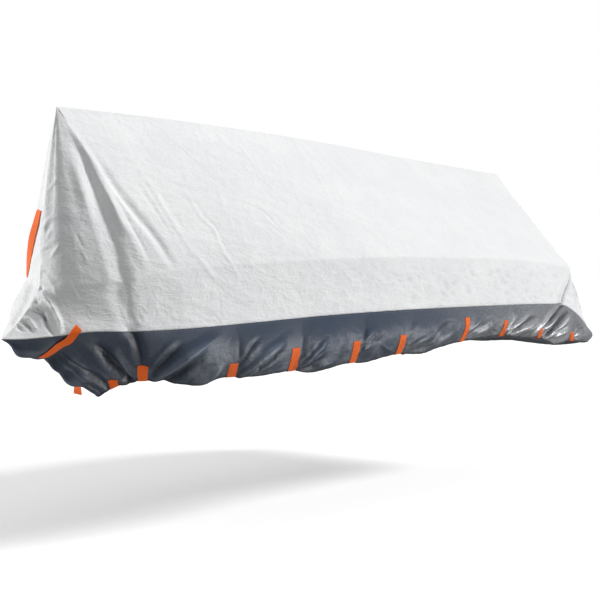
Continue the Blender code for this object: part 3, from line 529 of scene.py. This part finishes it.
# Wrinkles all over the cloth: height, how many to a metre across and up, and a seed.
TOP_WRINKLES = ((0.005, 1.6, 2.6, 3.1), (0.0028, 4.5, 11, 17.7), (0.0011, 13, 30, 41.3))
SKIRT_WRINKLES = ((0.006, 5, 2.6, 7.9), (0.0034, 13, 8, 23.3), (0.0016, 34, 16, 61.9))
# How far from the middle and from the border the wrinkles fade, and how far down the skirt.
MIDDLE_FADE, SEAM_FADE, SKIRT_FADE = 0.015, 0.06, 0.5
# The starboard side is smooth as far as the front strap, and differs away from the middle.
SMOOTH_TO, SMOOTH_FADE, FOLDS_FADE, SWELLS_FADE = 0.1, 0.3, 0.2, 0.1


def wrinkled(points, wrinkles, side):
    total = np.zeros(points.shape[:-1])
    flat = points.reshape(-1, 3) * (1, side, 1)
    for height, across, up, seed in wrinkles:
        scaled = flat * (across, across, up) + seed
        values = np.array([noise.noise(Vector(place)) for place in scaled])
        total += height * values.reshape(total.shape)
    return total


def depths_at(flat, along, down, side):
    """How far one side's cloth stands out at each place, and how much of that is creases."""
    middle = smooth_step(flat[..., 1] / MIDDLE_FADE)
    seam = smooth_step(np.abs(down - 2) / SEAM_FADE)
    depths = fold_depths(flat, along, FOLDS)
    fine = fold_depths(flat, along, TOP_CREASES + SKIRT_CREASES, crisp=True)
    top = wrinkled(flat, TOP_WRINKLES, side)
    skirt = wrinkled(flat, SKIRT_WRINKLES, side) * smooth_step((down - 2) / SKIRT_FADE)
    if side > 0:
        fine = fine * smooth_step((along - SMOOTH_TO) / SMOOTH_FADE)
        depths *= 1 - (1 - STARBOARD_FOLDS) * smooth_step(flat[..., 1] / FOLDS_FADE)
        swells = fold_depths(flat, along, STARBOARD_SWELLS)
        depths += swells * smooth_step(flat[..., 1] / SWELLS_FADE)
    creases = fine * middle + np.where(down < 2, 0, 0.5) * depths
    return depths + fine * middle + np.where(down < 2, top, skirt) * seam * middle, creases


def grid_normals(points):
    across = points[1:, 1:] - points[:-1, :-1]
    other = points[:-1, 1:] - points[1:, :-1]
    faces = np.cross(other, across)
    total = np.zeros(points.shape)
    for rows in (slice(0, -1), slice(1, None)):
        for cols in (slice(0, -1), slice(1, None)):
            total[rows, cols] += faces
    total[:, [0, -1], 1] = 0
    total[0, :, 1] = 0
    # the columns that meet in one point at the ridge's ends share a normal
    for end in (points[0, 0], points[0, -1]):
        fan = np.linalg.norm(points[0] - end, axis=1) < 1e-6
        total[0, fan] = total[0, fan].sum(axis=0)
    return unit(total)


def turned_in(points, along):
    """The points with the hem's turn added, which is narrow at the nose."""
    narrow = NOSE_TURN + (1 - NOSE_TURN) * smooth_step(along[-1] / NOSE_REACH)
    inwards = -outward(along[-1]) * HEM_TURN_IN * narrow[:, None]
    rows = [points[-1:] + inwards * share + np.array((0, 0, up)) for share, up in TURN]
    return np.concatenate([points] + rows)


def side_grid(side):
    """One side's middle points, normals and crease depths, still with Y counted outwards."""
    along, down = grid_places()
    flat = surface(along, down)
    points = hung(flat, along, down)
    depths, creases = depths_at(flat, along, down, side)
    points += grid_normals(points) * depths[..., None]
    points = turned_in(points, along)
    creases = np.concatenate([creases, np.repeat(creases[-1:], len(TURN), axis=0)])
    return points, grid_normals(points), creases


def turned(vectors, angle):
    rows = ((cos(angle), sin(angle), 0), (-sin(angle), cos(angle), 0), (0, 0, 1))
    return vectors @ np.array(rows)


def hanging(inner, away):
    """A strap's rows and normals down to the hem, with rows that hang on below it and twist."""
    hem = len(inner) - len(TURN) - 1
    out = unit(away[hem] * (1, 1, 0))
    middle = inner[hem].mean(axis=0)
    rows, normals = [inner[:hem]], [away[:hem]]
    for k in range(LOOSE_END_ROWS + 1):
        share = k / LOOSE_END_ROWS
        angle = LOOSE_END_TWIST * smooth_step(share)
        drop = out.mean(axis=0) * LOOSE_END_OUT * smooth_step(share * 3)
        drop = drop - np.array((0, 0, LOOSE_END * share))
        rows.append((middle + turned(inner[hem] - middle, angle) + drop)[None])
        normals.append(turned(out, angle)[None])
    return np.concatenate(rows), np.concatenate(normals)


def placed(points, side):
    """The points on their own side, from the mount under the ridge."""
    station = np.interp([SUPPORT_X], table_column("ridge_x")[ON_RIDGE], STATIONS[ON_RIDGE])
    support_z = ridge(station)[0, 2]
    return points * (1, side, 1) - np.array((SUPPORT_X, 0, support_z - CLOTH / 2))


def lengths(points, axis):
    """Distance run along each row or column of the grid from its start."""
    steps = np.linalg.norm(np.diff(points, axis=axis), axis=-1)
    zeros = np.zeros_like(np.take(points[..., 0], [0], axis=axis))
    return np.cumsum(np.concatenate([zeros, steps], axis=axis), axis=axis)


def add_mesh(name, points, maps, faces, side, material):
    """A mesh of a list of points and faces, with UV maps given at each point."""
    seen = {}
    index = [seen.setdefault(tuple(point), len(seen)) for point in np.round(points, 7).tolist()]
    kept, owners = [], []
    for face in faces:
        own = face if side < 0 else face[::-1]
        merged = [index[k] for k in own]
        keep = [k for k in range(len(own)) if merged[k] != merged[k - 1]]
        if len(keep) > 2:
            kept.append([merged[k] for k in keep])
            owners += [own[k] for k in keep]
    mesh = bpy.data.meshes.new(name)
    mesh.from_pydata(list(seen), [], kept)
    for map_name, values in maps.items():
        layer = mesh.uv_layers.new(name=map_name)
        layer.uv.foreach_set("vector", values.reshape(-1, 2)[owners].astype(np.float32).ravel())
    mesh.shade_smooth()
    mesh.materials.append(material)
    obj = bpy.data.objects.new(name, mesh)
    bpy.context.scene.collection.objects.link(obj)
    return obj


def grid_faces(rows, cols, start=0):
    index = start + np.arange(rows * cols).reshape(rows, cols)
    quads = [index[:-1, :-1], index[1:, :-1], index[1:, 1:], index[:-1, 1:]]
    return np.stack(quads, axis=-1).reshape(-1, 4).tolist()


def declare(obj, node):
    """Hides the solid the piece stands for. Nothing moves, so every piece rides the root."""
    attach(obj, "root")
    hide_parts(node)


def add_cloth(name, points, maps, side, material):
    faces = grid_faces(*points.shape[:2])
    return add_mesh(name, placed(points, side).reshape(-1, 3), maps, faces, side, material)


def add_strap(name, node, inner, away, side, material):
    """A closed strip of webbing: rows run along it and columns across it."""
    outer = inner + away * WEBBING
    rows, cols = inner.shape[:2]
    half = rows * cols
    index = np.arange(half).reshape(rows, cols)
    faces = grid_faces(rows, cols) + [face[::-1] for face in grid_faces(rows, cols, half)]
    edges = (index[:, 0], index[-1, 1:], index[-2::-1, -1], index[0, -2:0:-1])
    loop = np.concatenate(edges).tolist()
    faces += [[b, a, a + half, b + half] for a, b in zip(loop, loop[1:] + loop[:1])]
    points = np.concatenate([placed(face, side).reshape(-1, 3) for face in (outer, inner)])
    web = np.stack([lengths(outer, 1), lengths(outer, 0)], axis=-1)
    obj = add_mesh(name, points, {"weave": np.concatenate([web, web])}, faces, side, material)
    obj.data.set_sharp_from_angle(angle=radians(50))
    declare(obj, node)


def smoothed(values, times):
    """The rows of values, each softened into its neighbours, with the first and last ones held."""
    for _ in range(times):
        inner = (values[:-2] + 2 * values[1:-1] + values[2:]) / 4
        values = np.concatenate([values[:1], inner, values[-1:]])
    return values


def laid_grid(laid, side):
    """A laid strap's rows of points, held straight over the creases, and their normals."""
    places = np.array(laid.path)
    route = surface(*places.T)
    run = np.concatenate([[0.0], np.cumsum(np.linalg.norm(np.diff(route, axis=0), axis=1))])
    at = np.linspace(0, run[-1], round(run[-1] / LAID_STEP) + 1)
    middle = smooth_curve(run, places, slopes(run, places), at)
    s, v = middle.T
    by_s = (surface(s + RATE_STEP, v) - surface(s - RATE_STEP, v)) / (2 * RATE_STEP)
    by_v = (surface(s, v + RATE_STEP) - surface(s, v - RATE_STEP)) / (2 * RATE_STEP)
    away = unit(smoothed(unit(np.cross(by_s, by_v)), LAID_SOFTENING))
    heading = np.gradient(smoothed(surface(s, v), LAID_SOFTENING), axis=0)
    sideways = unit(np.cross(heading, away))
    across = np.linspace(-0.5, 0.5, LAID_POINTS)[:, None] * BOW_STRAP_WIDTH
    grid = np.zeros((len(s), LAID_POINTS, 2))
    for k in range(len(s)):
        rates = np.stack([by_s[k], by_v[k]], axis=1)
        along_down = np.linalg.lstsq(rates, sideways[k], rcond=None)[0]
        grid[k] = middle[k] + across * along_down
    s, v = grid[..., 0], grid[..., 1]
    flat = surface(s, v)
    normals = np.repeat(away[:, None], LAID_POINTS, axis=1)
    cloth = hung(flat, s, v)
    real = unit(np.cross(np.gradient(cloth, axis=1), np.gradient(cloth, axis=0)))
    real *= np.sign((real * normals).sum(axis=-1, keepdims=True))
    cloth = cloth + real * depths_at(flat, s, v, side)[0][..., None]
    held = smoothed(cloth, laid.tightness)
    # lifted to clear the cloth, each time as far as it falls short nearby
    for _ in range(LIFTS):
        short = ((cloth - held) * normals).sum(axis=-1)
        rise = np.maximum(short, 0).max(axis=1)
        rise = [rise[max(k - LIFT_REACH, 0) : k + LIFT_REACH + 1].max() for k in range(len(rise))]
        held = smoothed(held + normals * np.reshape(rise, (-1, 1, 1)), LIFT_SOFTENING)
    short = ((cloth - held) * normals).sum(axis=-1).max()
    bow = np.sin(np.linspace(0, pi, len(held)))[:, None] * np.linspace(0, laid.lean, LAID_POINTS)
    return held + normals * (max(short, 0) + bow)[..., None], normals


# ---- materials ----

# The cloth's thread, a stitch's length and half width, and the webbing's ribs and twill.
THREAD, STITCH, STITCH_HALF_WIDTH, RIB, TWILL = 0.0015, 0.005, 0.0014, 0.0022, 0.0045
# How far the crumple's cells are bent out of shape.
CRUMPLE_BEND = 0.15
# The crumple's layers: how many times finer than the first, and each one's share.
CRUMPLE_SIZES = ((1, 0.6), (2.3, 0.25), (5.1, 0.15))


class Tree:
    """The nodes of a material or world. Distances and places are in metres."""

    def __init__(self, owner, shader="Principled BSDF"):
        owner.use_nodes = True
        self.owner, self.tree = owner, owner.node_tree
        self.shader = self.tree.nodes[shader]

    def put(self, socket, value):
        if isinstance(value, bpy.types.NodeSocket):
            self.tree.links.new(value, socket)
        elif socket.type == "RGBA" and len(value) == 3:
            socket.default_value = (*value, 1)
        else:
            socket.default_value = value

    def add(self, kind, inputs=(), **settings):
        made = self.tree.nodes.new("ShaderNode" + kind)
        for name, value in settings.items():
            setattr(made, name, value)
        for key, value in dict(inputs).items():
            self.put(made.inputs[key], value)
        return made

    def math(self, operation, *values):
        return self.add("Math", enumerate(values), operation=operation).outputs[0]

    def times(self, a, b):
        return self.math("MULTIPLY", a, b)

    def plus(self, a, b):
        return self.math("ADD", a, b)

    def split(self, vector):
        return self.add("SeparateXYZ", {0: vector}).outputs

    def uv(self, name):
        return self.add("UVMap", uv_map=name).outputs[0]

    def place(self):
        return self.add("TexCoord").outputs["Object"]

    def scaled(self, vector, level, up, seed):
        """A place in space stretched, as many waves to a metre across and up."""
        inputs = {"Scale": (level, level, up), "Location": (seed, seed, seed)}
        return self.add("Mapping", {"Vector": vector, **inputs}).outputs[0]

    def noise(self, vector, detail, roughness):
        inputs = {"Vector": vector, "Scale": 1, "Detail": detail, "Roughness": roughness}
        return self.add("TexNoise", inputs).outputs[0]

    def ramp(self, value, low, high, out_low=0, out_high=1):
        inputs = {0: value, 1: low, 2: high, 3: out_low, 4: out_high}
        return self.add("MapRange", inputs, interpolation_type="SMOOTHSTEP").outputs[0]

    def crumple(self, place, level, up):
        """Small facets with ridges between them, as in creased cloth."""
        inputs = {"Vector": place, "Scale": level * 0.5, "Detail": 2}
        bent = self.add("TexNoise", inputs).outputs["Color"]
        inputs = {0: bent, "Scale": CRUMPLE_BEND}
        shift = self.add("VectorMath", inputs, operation="SCALE").outputs[0]
        moved = self.add("VectorMath", {0: place, 1: shift}, operation="ADD").outputs[0]
        parts = []
        for size, share in CRUMPLE_SIZES:
            inputs = {"Vector": self.scaled(moved, level * size, up * size, size), "Scale": 1}
            cells = self.add("TexVoronoi", inputs).outputs["Distance"]
            parts.append(self.times(cells, share))
        return self.plus(self.plus(parts[0], parts[1]), parts[2])

    def mix(self, factor, a, b):
        made = self.add("Mix", data_type="RGBA")
        for socket, value in zip((made.inputs[0], made.inputs[6], made.inputs[7]), (factor, a, b)):
            self.put(socket, value)
        return made.outputs[2]

    def bumps(self, *layers):
        """The normal after bumps of height, distance and strength, one over another."""
        before = {}
        for height, distance, strength in layers:
            inputs = {"Height": height, "Distance": distance, "Strength": strength}
            before = {"Normal": self.add("Bump", {**inputs, **before}).outputs[0]}
        return before["Normal"]

    def weave(self, vector, pitch):
        """A plain weave: threads over and under each other."""
        across, run = self.split(vector)[:2]
        return self.times(self.wave(across, 2 * pitch), self.wave(run, 2 * pitch))

    def wave(self, distance, length):
        return self.math("SINE", self.times(distance, 2 * pi / length))

    def line(self, distance, place, half_width):
        """One at the given distance, falling to zero beside it."""
        return self.ramp(self.off(distance, place), half_width * 0.4, half_width, 1, 0)

    def off(self, distance, place):
        return self.math("ABSOLUTE", self.math("SUBTRACT", distance, place))

    def seam(self, lines, run):
        """Stitches along the given lines, with short gaps between them."""
        share = self.math("FRACT", self.math("DIVIDE", run, STITCH))
        return self.times(lines, self.ramp(self.off(share, 0.5), 0.30, 0.38, 1, 0))

    def finish(self, **inputs):
        """Sets the shader's inputs, whose names have _ for each space, and gives the owner."""
        for name, value in inputs.items():
            self.put(self.shader.inputs[name.replace("_", " ")], value)
        return self.owner


def pale_cloth():
    t = Tree(bpy.data.materials.new("pale grey cover cloth"))
    weave, place = t.uv("weave"), t.place()
    up, along, aft = t.split(t.uv("edges"))[0], t.split(weave)[0], t.split(place)[0]
    depth = t.split(t.uv("creases"))[0]
    low = t.ramp(up, 0.24, 0.36, 1, 0)
    slack = t.math("MAXIMUM", low, t.ramp(aft, -1, 0.8, 0.85, 0.5))
    slack = t.times(slack, t.ramp(aft, -2.3, -1.8, 0.9, 1))
    shade = t.times(low, t.ramp(aft, -1.6, 0.4, 0, 0.6))
    blotch = t.noise(t.scaled(place, 2.5, 4, 4), 3, 0.6)
    crinkle = t.noise(t.scaled(place, 12, 36, 9), 3, 0.62)
    fine = t.noise(t.scaled(place, 55, 85, 2), 3, 0.65)
    crumple = t.crumple(place, 9, 15)
    lines = [t.line(up, at, STITCH_HALF_WIDTH) for at in (0.006, 0.016)]
    stitch = t.seam(t.plus(*lines), along)
    color = t.mix(t.ramp(blotch, 0.3, 0.72), (0.77, 0.78, 0.787), (0.815, 0.82, 0.824))
    color = t.mix(t.times(t.ramp(fine, 0.65, 0.35), 0.25), color, (0.7, 0.71, 0.72))
    color = t.mix(t.times(t.ramp(crumple, 0.5, 0.15), shade), color, (0.62, 0.63, 0.64))
    # painted shade: the deeper a crease valley, the darker its grey
    color = t.mix(t.ramp(depth, -0.003, -0.022, 0, 0.75), color, (0.36, 0.37, 0.38))
    color = t.mix(t.times(stitch, 0.6), color, (0.55, 0.56, 0.57))
    slack_crumple, slack_crinkle = t.times(crumple, slack), t.times(crinkle, slack)
    normal = t.bumps(
        (slack_crumple, 0.008, 1), (slack_crinkle, 0.0035, 1), (fine, 0.0018, 0.8),
        (t.weave(weave, THREAD), 0.0003, 0.25), (stitch, 0.0008, 0.6),
    )
    rough = t.ramp(fine, 0.3, 0.7, 0.55, 0.7)
    sheen = {"Sheen_Weight": 0.1, "Sheen_Roughness": 0.4}
    return t.finish(Base_Color=color, Roughness=rough, Normal=normal, **sheen)


def navy_cloth():
    t = Tree(bpy.data.materials.new("navy skirt cloth"))
    weave, place = t.uv("weave"), t.place()
    down, hem = t.split(t.uv("edges"))[:2]
    along, depth = t.split(weave)[0], t.split(t.uv("creases"))[0]
    aft = t.ramp(t.split(place)[0], -0.6, 1.9)
    blotch = t.noise(t.scaled(place, 5, 6, 4), 3, 0.6)
    crinkle = t.noise(t.scaled(place, 22, 26, 9), 3, 0.6)
    fine = t.noise(t.scaled(place, 60, 70, 2), 2, 0.6)
    lines = [t.line(edge, at, STITCH_HALF_WIDTH) for edge, at in ((hem, 0.012), (down, 0.01))]
    stitch = t.seam(t.plus(*lines), along)
    # painted sheen: toward the stern the navy and its lighter blotches turn grey, standing in for
    # reflections
    color = t.mix(aft, (0.032, 0.051, 0.088), (0.27, 0.28, 0.3))
    light = t.mix(aft, (0.046, 0.068, 0.11), (0.44, 0.45, 0.46))
    # lighter blotches of random tone, kept off the upper skirt: painted light, the lower skirt
    # lighter than the upper
    lower_skirt = t.ramp(down, 0.04, 0.2, 0.15, 1)
    color = t.mix(t.times(t.ramp(blotch, 0.35, 0.7), lower_skirt), color, light)
    # painted light: pale patches near the hem, stronger toward the stern, as if lit from below
    painted_bounce_light = t.times(t.ramp(hem, 0.24, 0.06), t.ramp(blotch, 0.4, 0.62))
    painted_bounce_light = t.times(painted_bounce_light, t.plus(t.times(aft, 0.4), 0.2))
    color = t.mix(painted_bounce_light, color, (0.46, 0.47, 0.49))
    color = t.mix(t.times(t.ramp(fine, 0.6, 0.4), 0.3), color, (0.03, 0.038, 0.055))
    # painted highlight: the crease ridges lighter, on the lower skirt, and near white toward the
    # stern
    painted_ridge_highlight = t.mix(aft, (0.12, 0.15, 0.2), (0.72, 0.73, 0.74))
    # painted shade: the crease valleys darker, the deeper the darker
    painted_crease_shade = t.mix(aft, (0.018, 0.026, 0.042), (0.09, 0.093, 0.1))
    color = t.mix(t.times(t.ramp(depth, 0.002, 0.016, 0, 0.9), lower_skirt), color, painted_ridge_highlight)
    color = t.mix(t.ramp(depth, -0.001, -0.013, 0, 0.85), color, painted_crease_shade)
    color = t.mix(t.times(stitch, 0.6), color, (0.12, 0.14, 0.18))
    # painted shade: a dark band along the hem, where the cloth turns in
    color = t.mix(t.ramp(hem, 0.022, 0.004, 0, 0.8), color, (0.02, 0.025, 0.036))
    crumple, crinkle = t.times(t.crumple(place, 9, 10), lower_skirt), t.times(crinkle, lower_skirt)
    normal = t.bumps(
        (crumple, 0.007, 1), (crinkle, 0.0025, 0.8), (fine, 0.0015, 0.5),
        (t.weave(weave, THREAD), 0.0003, 0.25), (stitch, 0.0008, 0.6),
    )
    rough = t.plus(t.ramp(blotch, 0.3, 0.7, 0.31, 0.39), t.ramp(aft, 0.1, 0.8, 0.14, 0))
    silver = t.times(aft, 0.25)
    return t.finish(Base_Color=color, Roughness=rough, Normal=normal, Metallic=silver)


def webbing():
    t = Tree(bpy.data.materials.new("orange webbing"))
    weave = t.uv("weave")
    across, run = t.split(weave)[:2]
    ribs, twill = t.wave(run, RIB), t.wave(across, TWILL)
    blotch = t.noise(t.scaled(weave, 20, 12, 3), 3, 0.6)
    edge = t.off(across, STRAP_WIDTH / 2)
    stitch = t.seam(t.line(edge, STRAP_WIDTH / 2 - 0.005, 0.0012), run)
    color = t.mix(blotch, (0.95, 0.135, 0.012), (1, 0.19, 0.024))
    color = t.mix(t.ramp(ribs, 0.2, -1, 0, 0.25), color, (0.36, 0.045, 0.008))
    color = t.mix(t.times(stitch, 0.7), color, (0.85, 0.25, 0.06))
    normal = t.bumps((ribs, 0.0003, 0.6), (twill, 0.0002, 0.3), (stitch, 0.0006, 0.6))
    # painted light: a faint orange glow makes the webbing brighter than the lamps alone do
    glow = {"Emission_Color": (1, 0.14, 0.012), "Emission_Strength": 0.1}
    return t.finish(Base_Color=color, Roughness=0.62, Normal=normal, Specular_IOR_Level=0.2, **glow)


# ---- the pieces ----


def add_side(word, side, grey, navy, orange):
    points, normals, creases = side_grid(side)
    along = lengths(points, 1)
    down = lengths(points, 0)
    border, hem = down[BORDER_ROW], down[HEM_ROW]
    maps = {
        "weave": np.stack([along, down - border], axis=-1),
        "edges": np.stack([np.abs(down - border), hem - down], axis=-1),
        "creases": np.stack([creases, 0 * creases], axis=-1),
    }

    # the border's row twice, for the edge that rises over the skirt
    rows = [*range(BORDER_ROW + 1), BORDER_ROW]
    rise = np.zeros((len(rows), 1, 1))
    rise[-EDGE_ROWS - 1 :] = EDGE_RISE
    rise[-1] *= EDGE_END
    top = points[rows] + normals[rows] * rise
    top_maps = {name: values[rows] for name, values in maps.items()}
    cloth = add_cloth(f"top_cloth_{word}", top, top_maps, side, grey)
    declare(cloth, f"top_{word}")

    rows = slice(BORDER_ROW, None)
    skirt_maps = {name: values[rows] for name, values in maps.items()}
    skirt = add_cloth(f"skirt_cloth_{word}", points[rows], skirt_maps, side, navy)
    declare(skirt, f"skirt_{word}")

    for k, first in enumerate(columns()[2], start=1):
        rows, cols = slice(STRAP_ROW, None), slice(first, first + SPLIT + 1)
        base, away = points[rows, cols], normals[rows, cols]
        base = base + away * STRAP_LIFT
        if side > 0 and k == STARBOARD_LOOSE_STRAP:
            base, away = hanging(base, away)
        ends = f"{word}_{k:02d}"
        add_strap(f"strap_web_{ends}", f"strap_{ends}", base, away, side, orange)

    laid = LAID_STRAPS[side]
    base, away = laid_grid(laid, side)
    add_strap(f"{laid.name}_web", laid.name, base + away * LAID_LIFT, away, side, orange)


# ---- stage, lights and camera ----

# The room's brightness at its sides and overhead, and how high its top begins.
WORLD_SIDES, WORLD_TOP, WORLD_TOP_FROM = 0.25, 0.64, 0.9
KEY, BOW_FILL, BOUNCE, SHEEN = 2.8, 3, 0.5, 3
FLOOR_SIZE, FLOOR_HEIGHT, FLOOR_GLOW = 60, -2.484, 0.16
CAMERA_PLACE = (-6.642, -5.589, -0.744)
CAMERA_TURN = (radians(90 - 2.29), 0, radians(-49))
LENS, SENSOR = 75, 36


def add_floor():
    """A plain pale floor, far below the cover, that takes only its shadow."""
    mesh = bpy.data.meshes.new("floor")
    corners = [(x * FLOOR_SIZE, y * FLOOR_SIZE) for x, y in ((-1, -1), (1, -1), (1, 1), (-1, 1))]
    mesh.from_pydata([(x, y, FLOOR_HEIGHT) for x, y in corners], [], [(0, 1, 2, 3)])
    pale = {"Base_Color": (0.93, 0.93, 0.93), "Roughness": 0.9}
    glow = {"Emission_Color": (1, 1, 1), "Emission_Strength": FLOOR_GLOW}
    mesh.materials.append(Tree(bpy.data.materials.new("pale floor")).finish(**pale, **glow))
    floor = bpy.data.objects.new("floor", mesh)
    floor.visible_diffuse = floor.visible_glossy = floor.visible_shadow = False
    bpy.context.scene.collection.objects.link(floor)


def add_sun(name, towards, strength, angle, diffuse=True, glossy=True):
    """A broad light from the given direction, which may leave out soft light or reflections."""
    light = bpy.data.lights.new(name, "SUN")
    light.energy, light.angle = strength, radians(angle)
    obj = bpy.data.objects.new(name, light)
    obj.rotation_euler = Vector(towards).to_track_quat("Z", "Y").to_euler()
    obj.visible_diffuse, obj.visible_glossy = diffuse, glossy
    bpy.context.scene.collection.objects.link(obj)


def add_world():
    """A soft white room, brighter overhead than at the sides, seen as white by the camera."""
    world = bpy.data.worlds.new("studio")
    t = Tree(world, "Background")
    up = t.split(t.add("TexCoord").outputs["Generated"])[2]
    dome = {0: up, 1: 0, 2: WORLD_TOP_FROM, 3: WORLD_SIDES, 4: WORLD_TOP}
    camera_ray = t.add("LightPath").outputs["Is Camera Ray"]
    seen = {0: camera_ray, 3: t.add("MapRange", dome).outputs[0], 4: 1}
    t.finish(Color=(1, 1, 1), Strength=t.add("MapRange", seen).outputs[0])
    bpy.context.scene.world = world


def add_camera():
    """The photograph's own view, from ahead of the port bow and almost level."""
    data = bpy.data.cameras.new("camera")
    data.lens, data.sensor_width = LENS, SENSOR
    camera = bpy.data.objects.new("camera", data)
    camera.location, camera.rotation_euler = CAMERA_PLACE, CAMERA_TURN
    bpy.context.scene.collection.objects.link(camera)
    bpy.context.scene.camera = camera


bpy.context.scene.view_settings.view_transform = "Standard"
add_camera()
add_floor()
add_world()
add_sun("key", (0.60, -0.60, 0.51), KEY, 12, glossy=False)
add_sun("sheen", (0.40, -0.84, -0.30), SHEEN, 32, diffuse=False)
add_sun("bow fill", (-0.50, 0.82, 0.14), BOW_FILL, 24)
add_sun("bounce", (0.10, -0.40, -0.90), BOUNCE, 30)
grey, navy, orange = pale_cloth(), navy_cloth(), webbing()
add_side("port", -1, grey, navy, orange)
add_side("starboard", 1, grey, navy, orange)
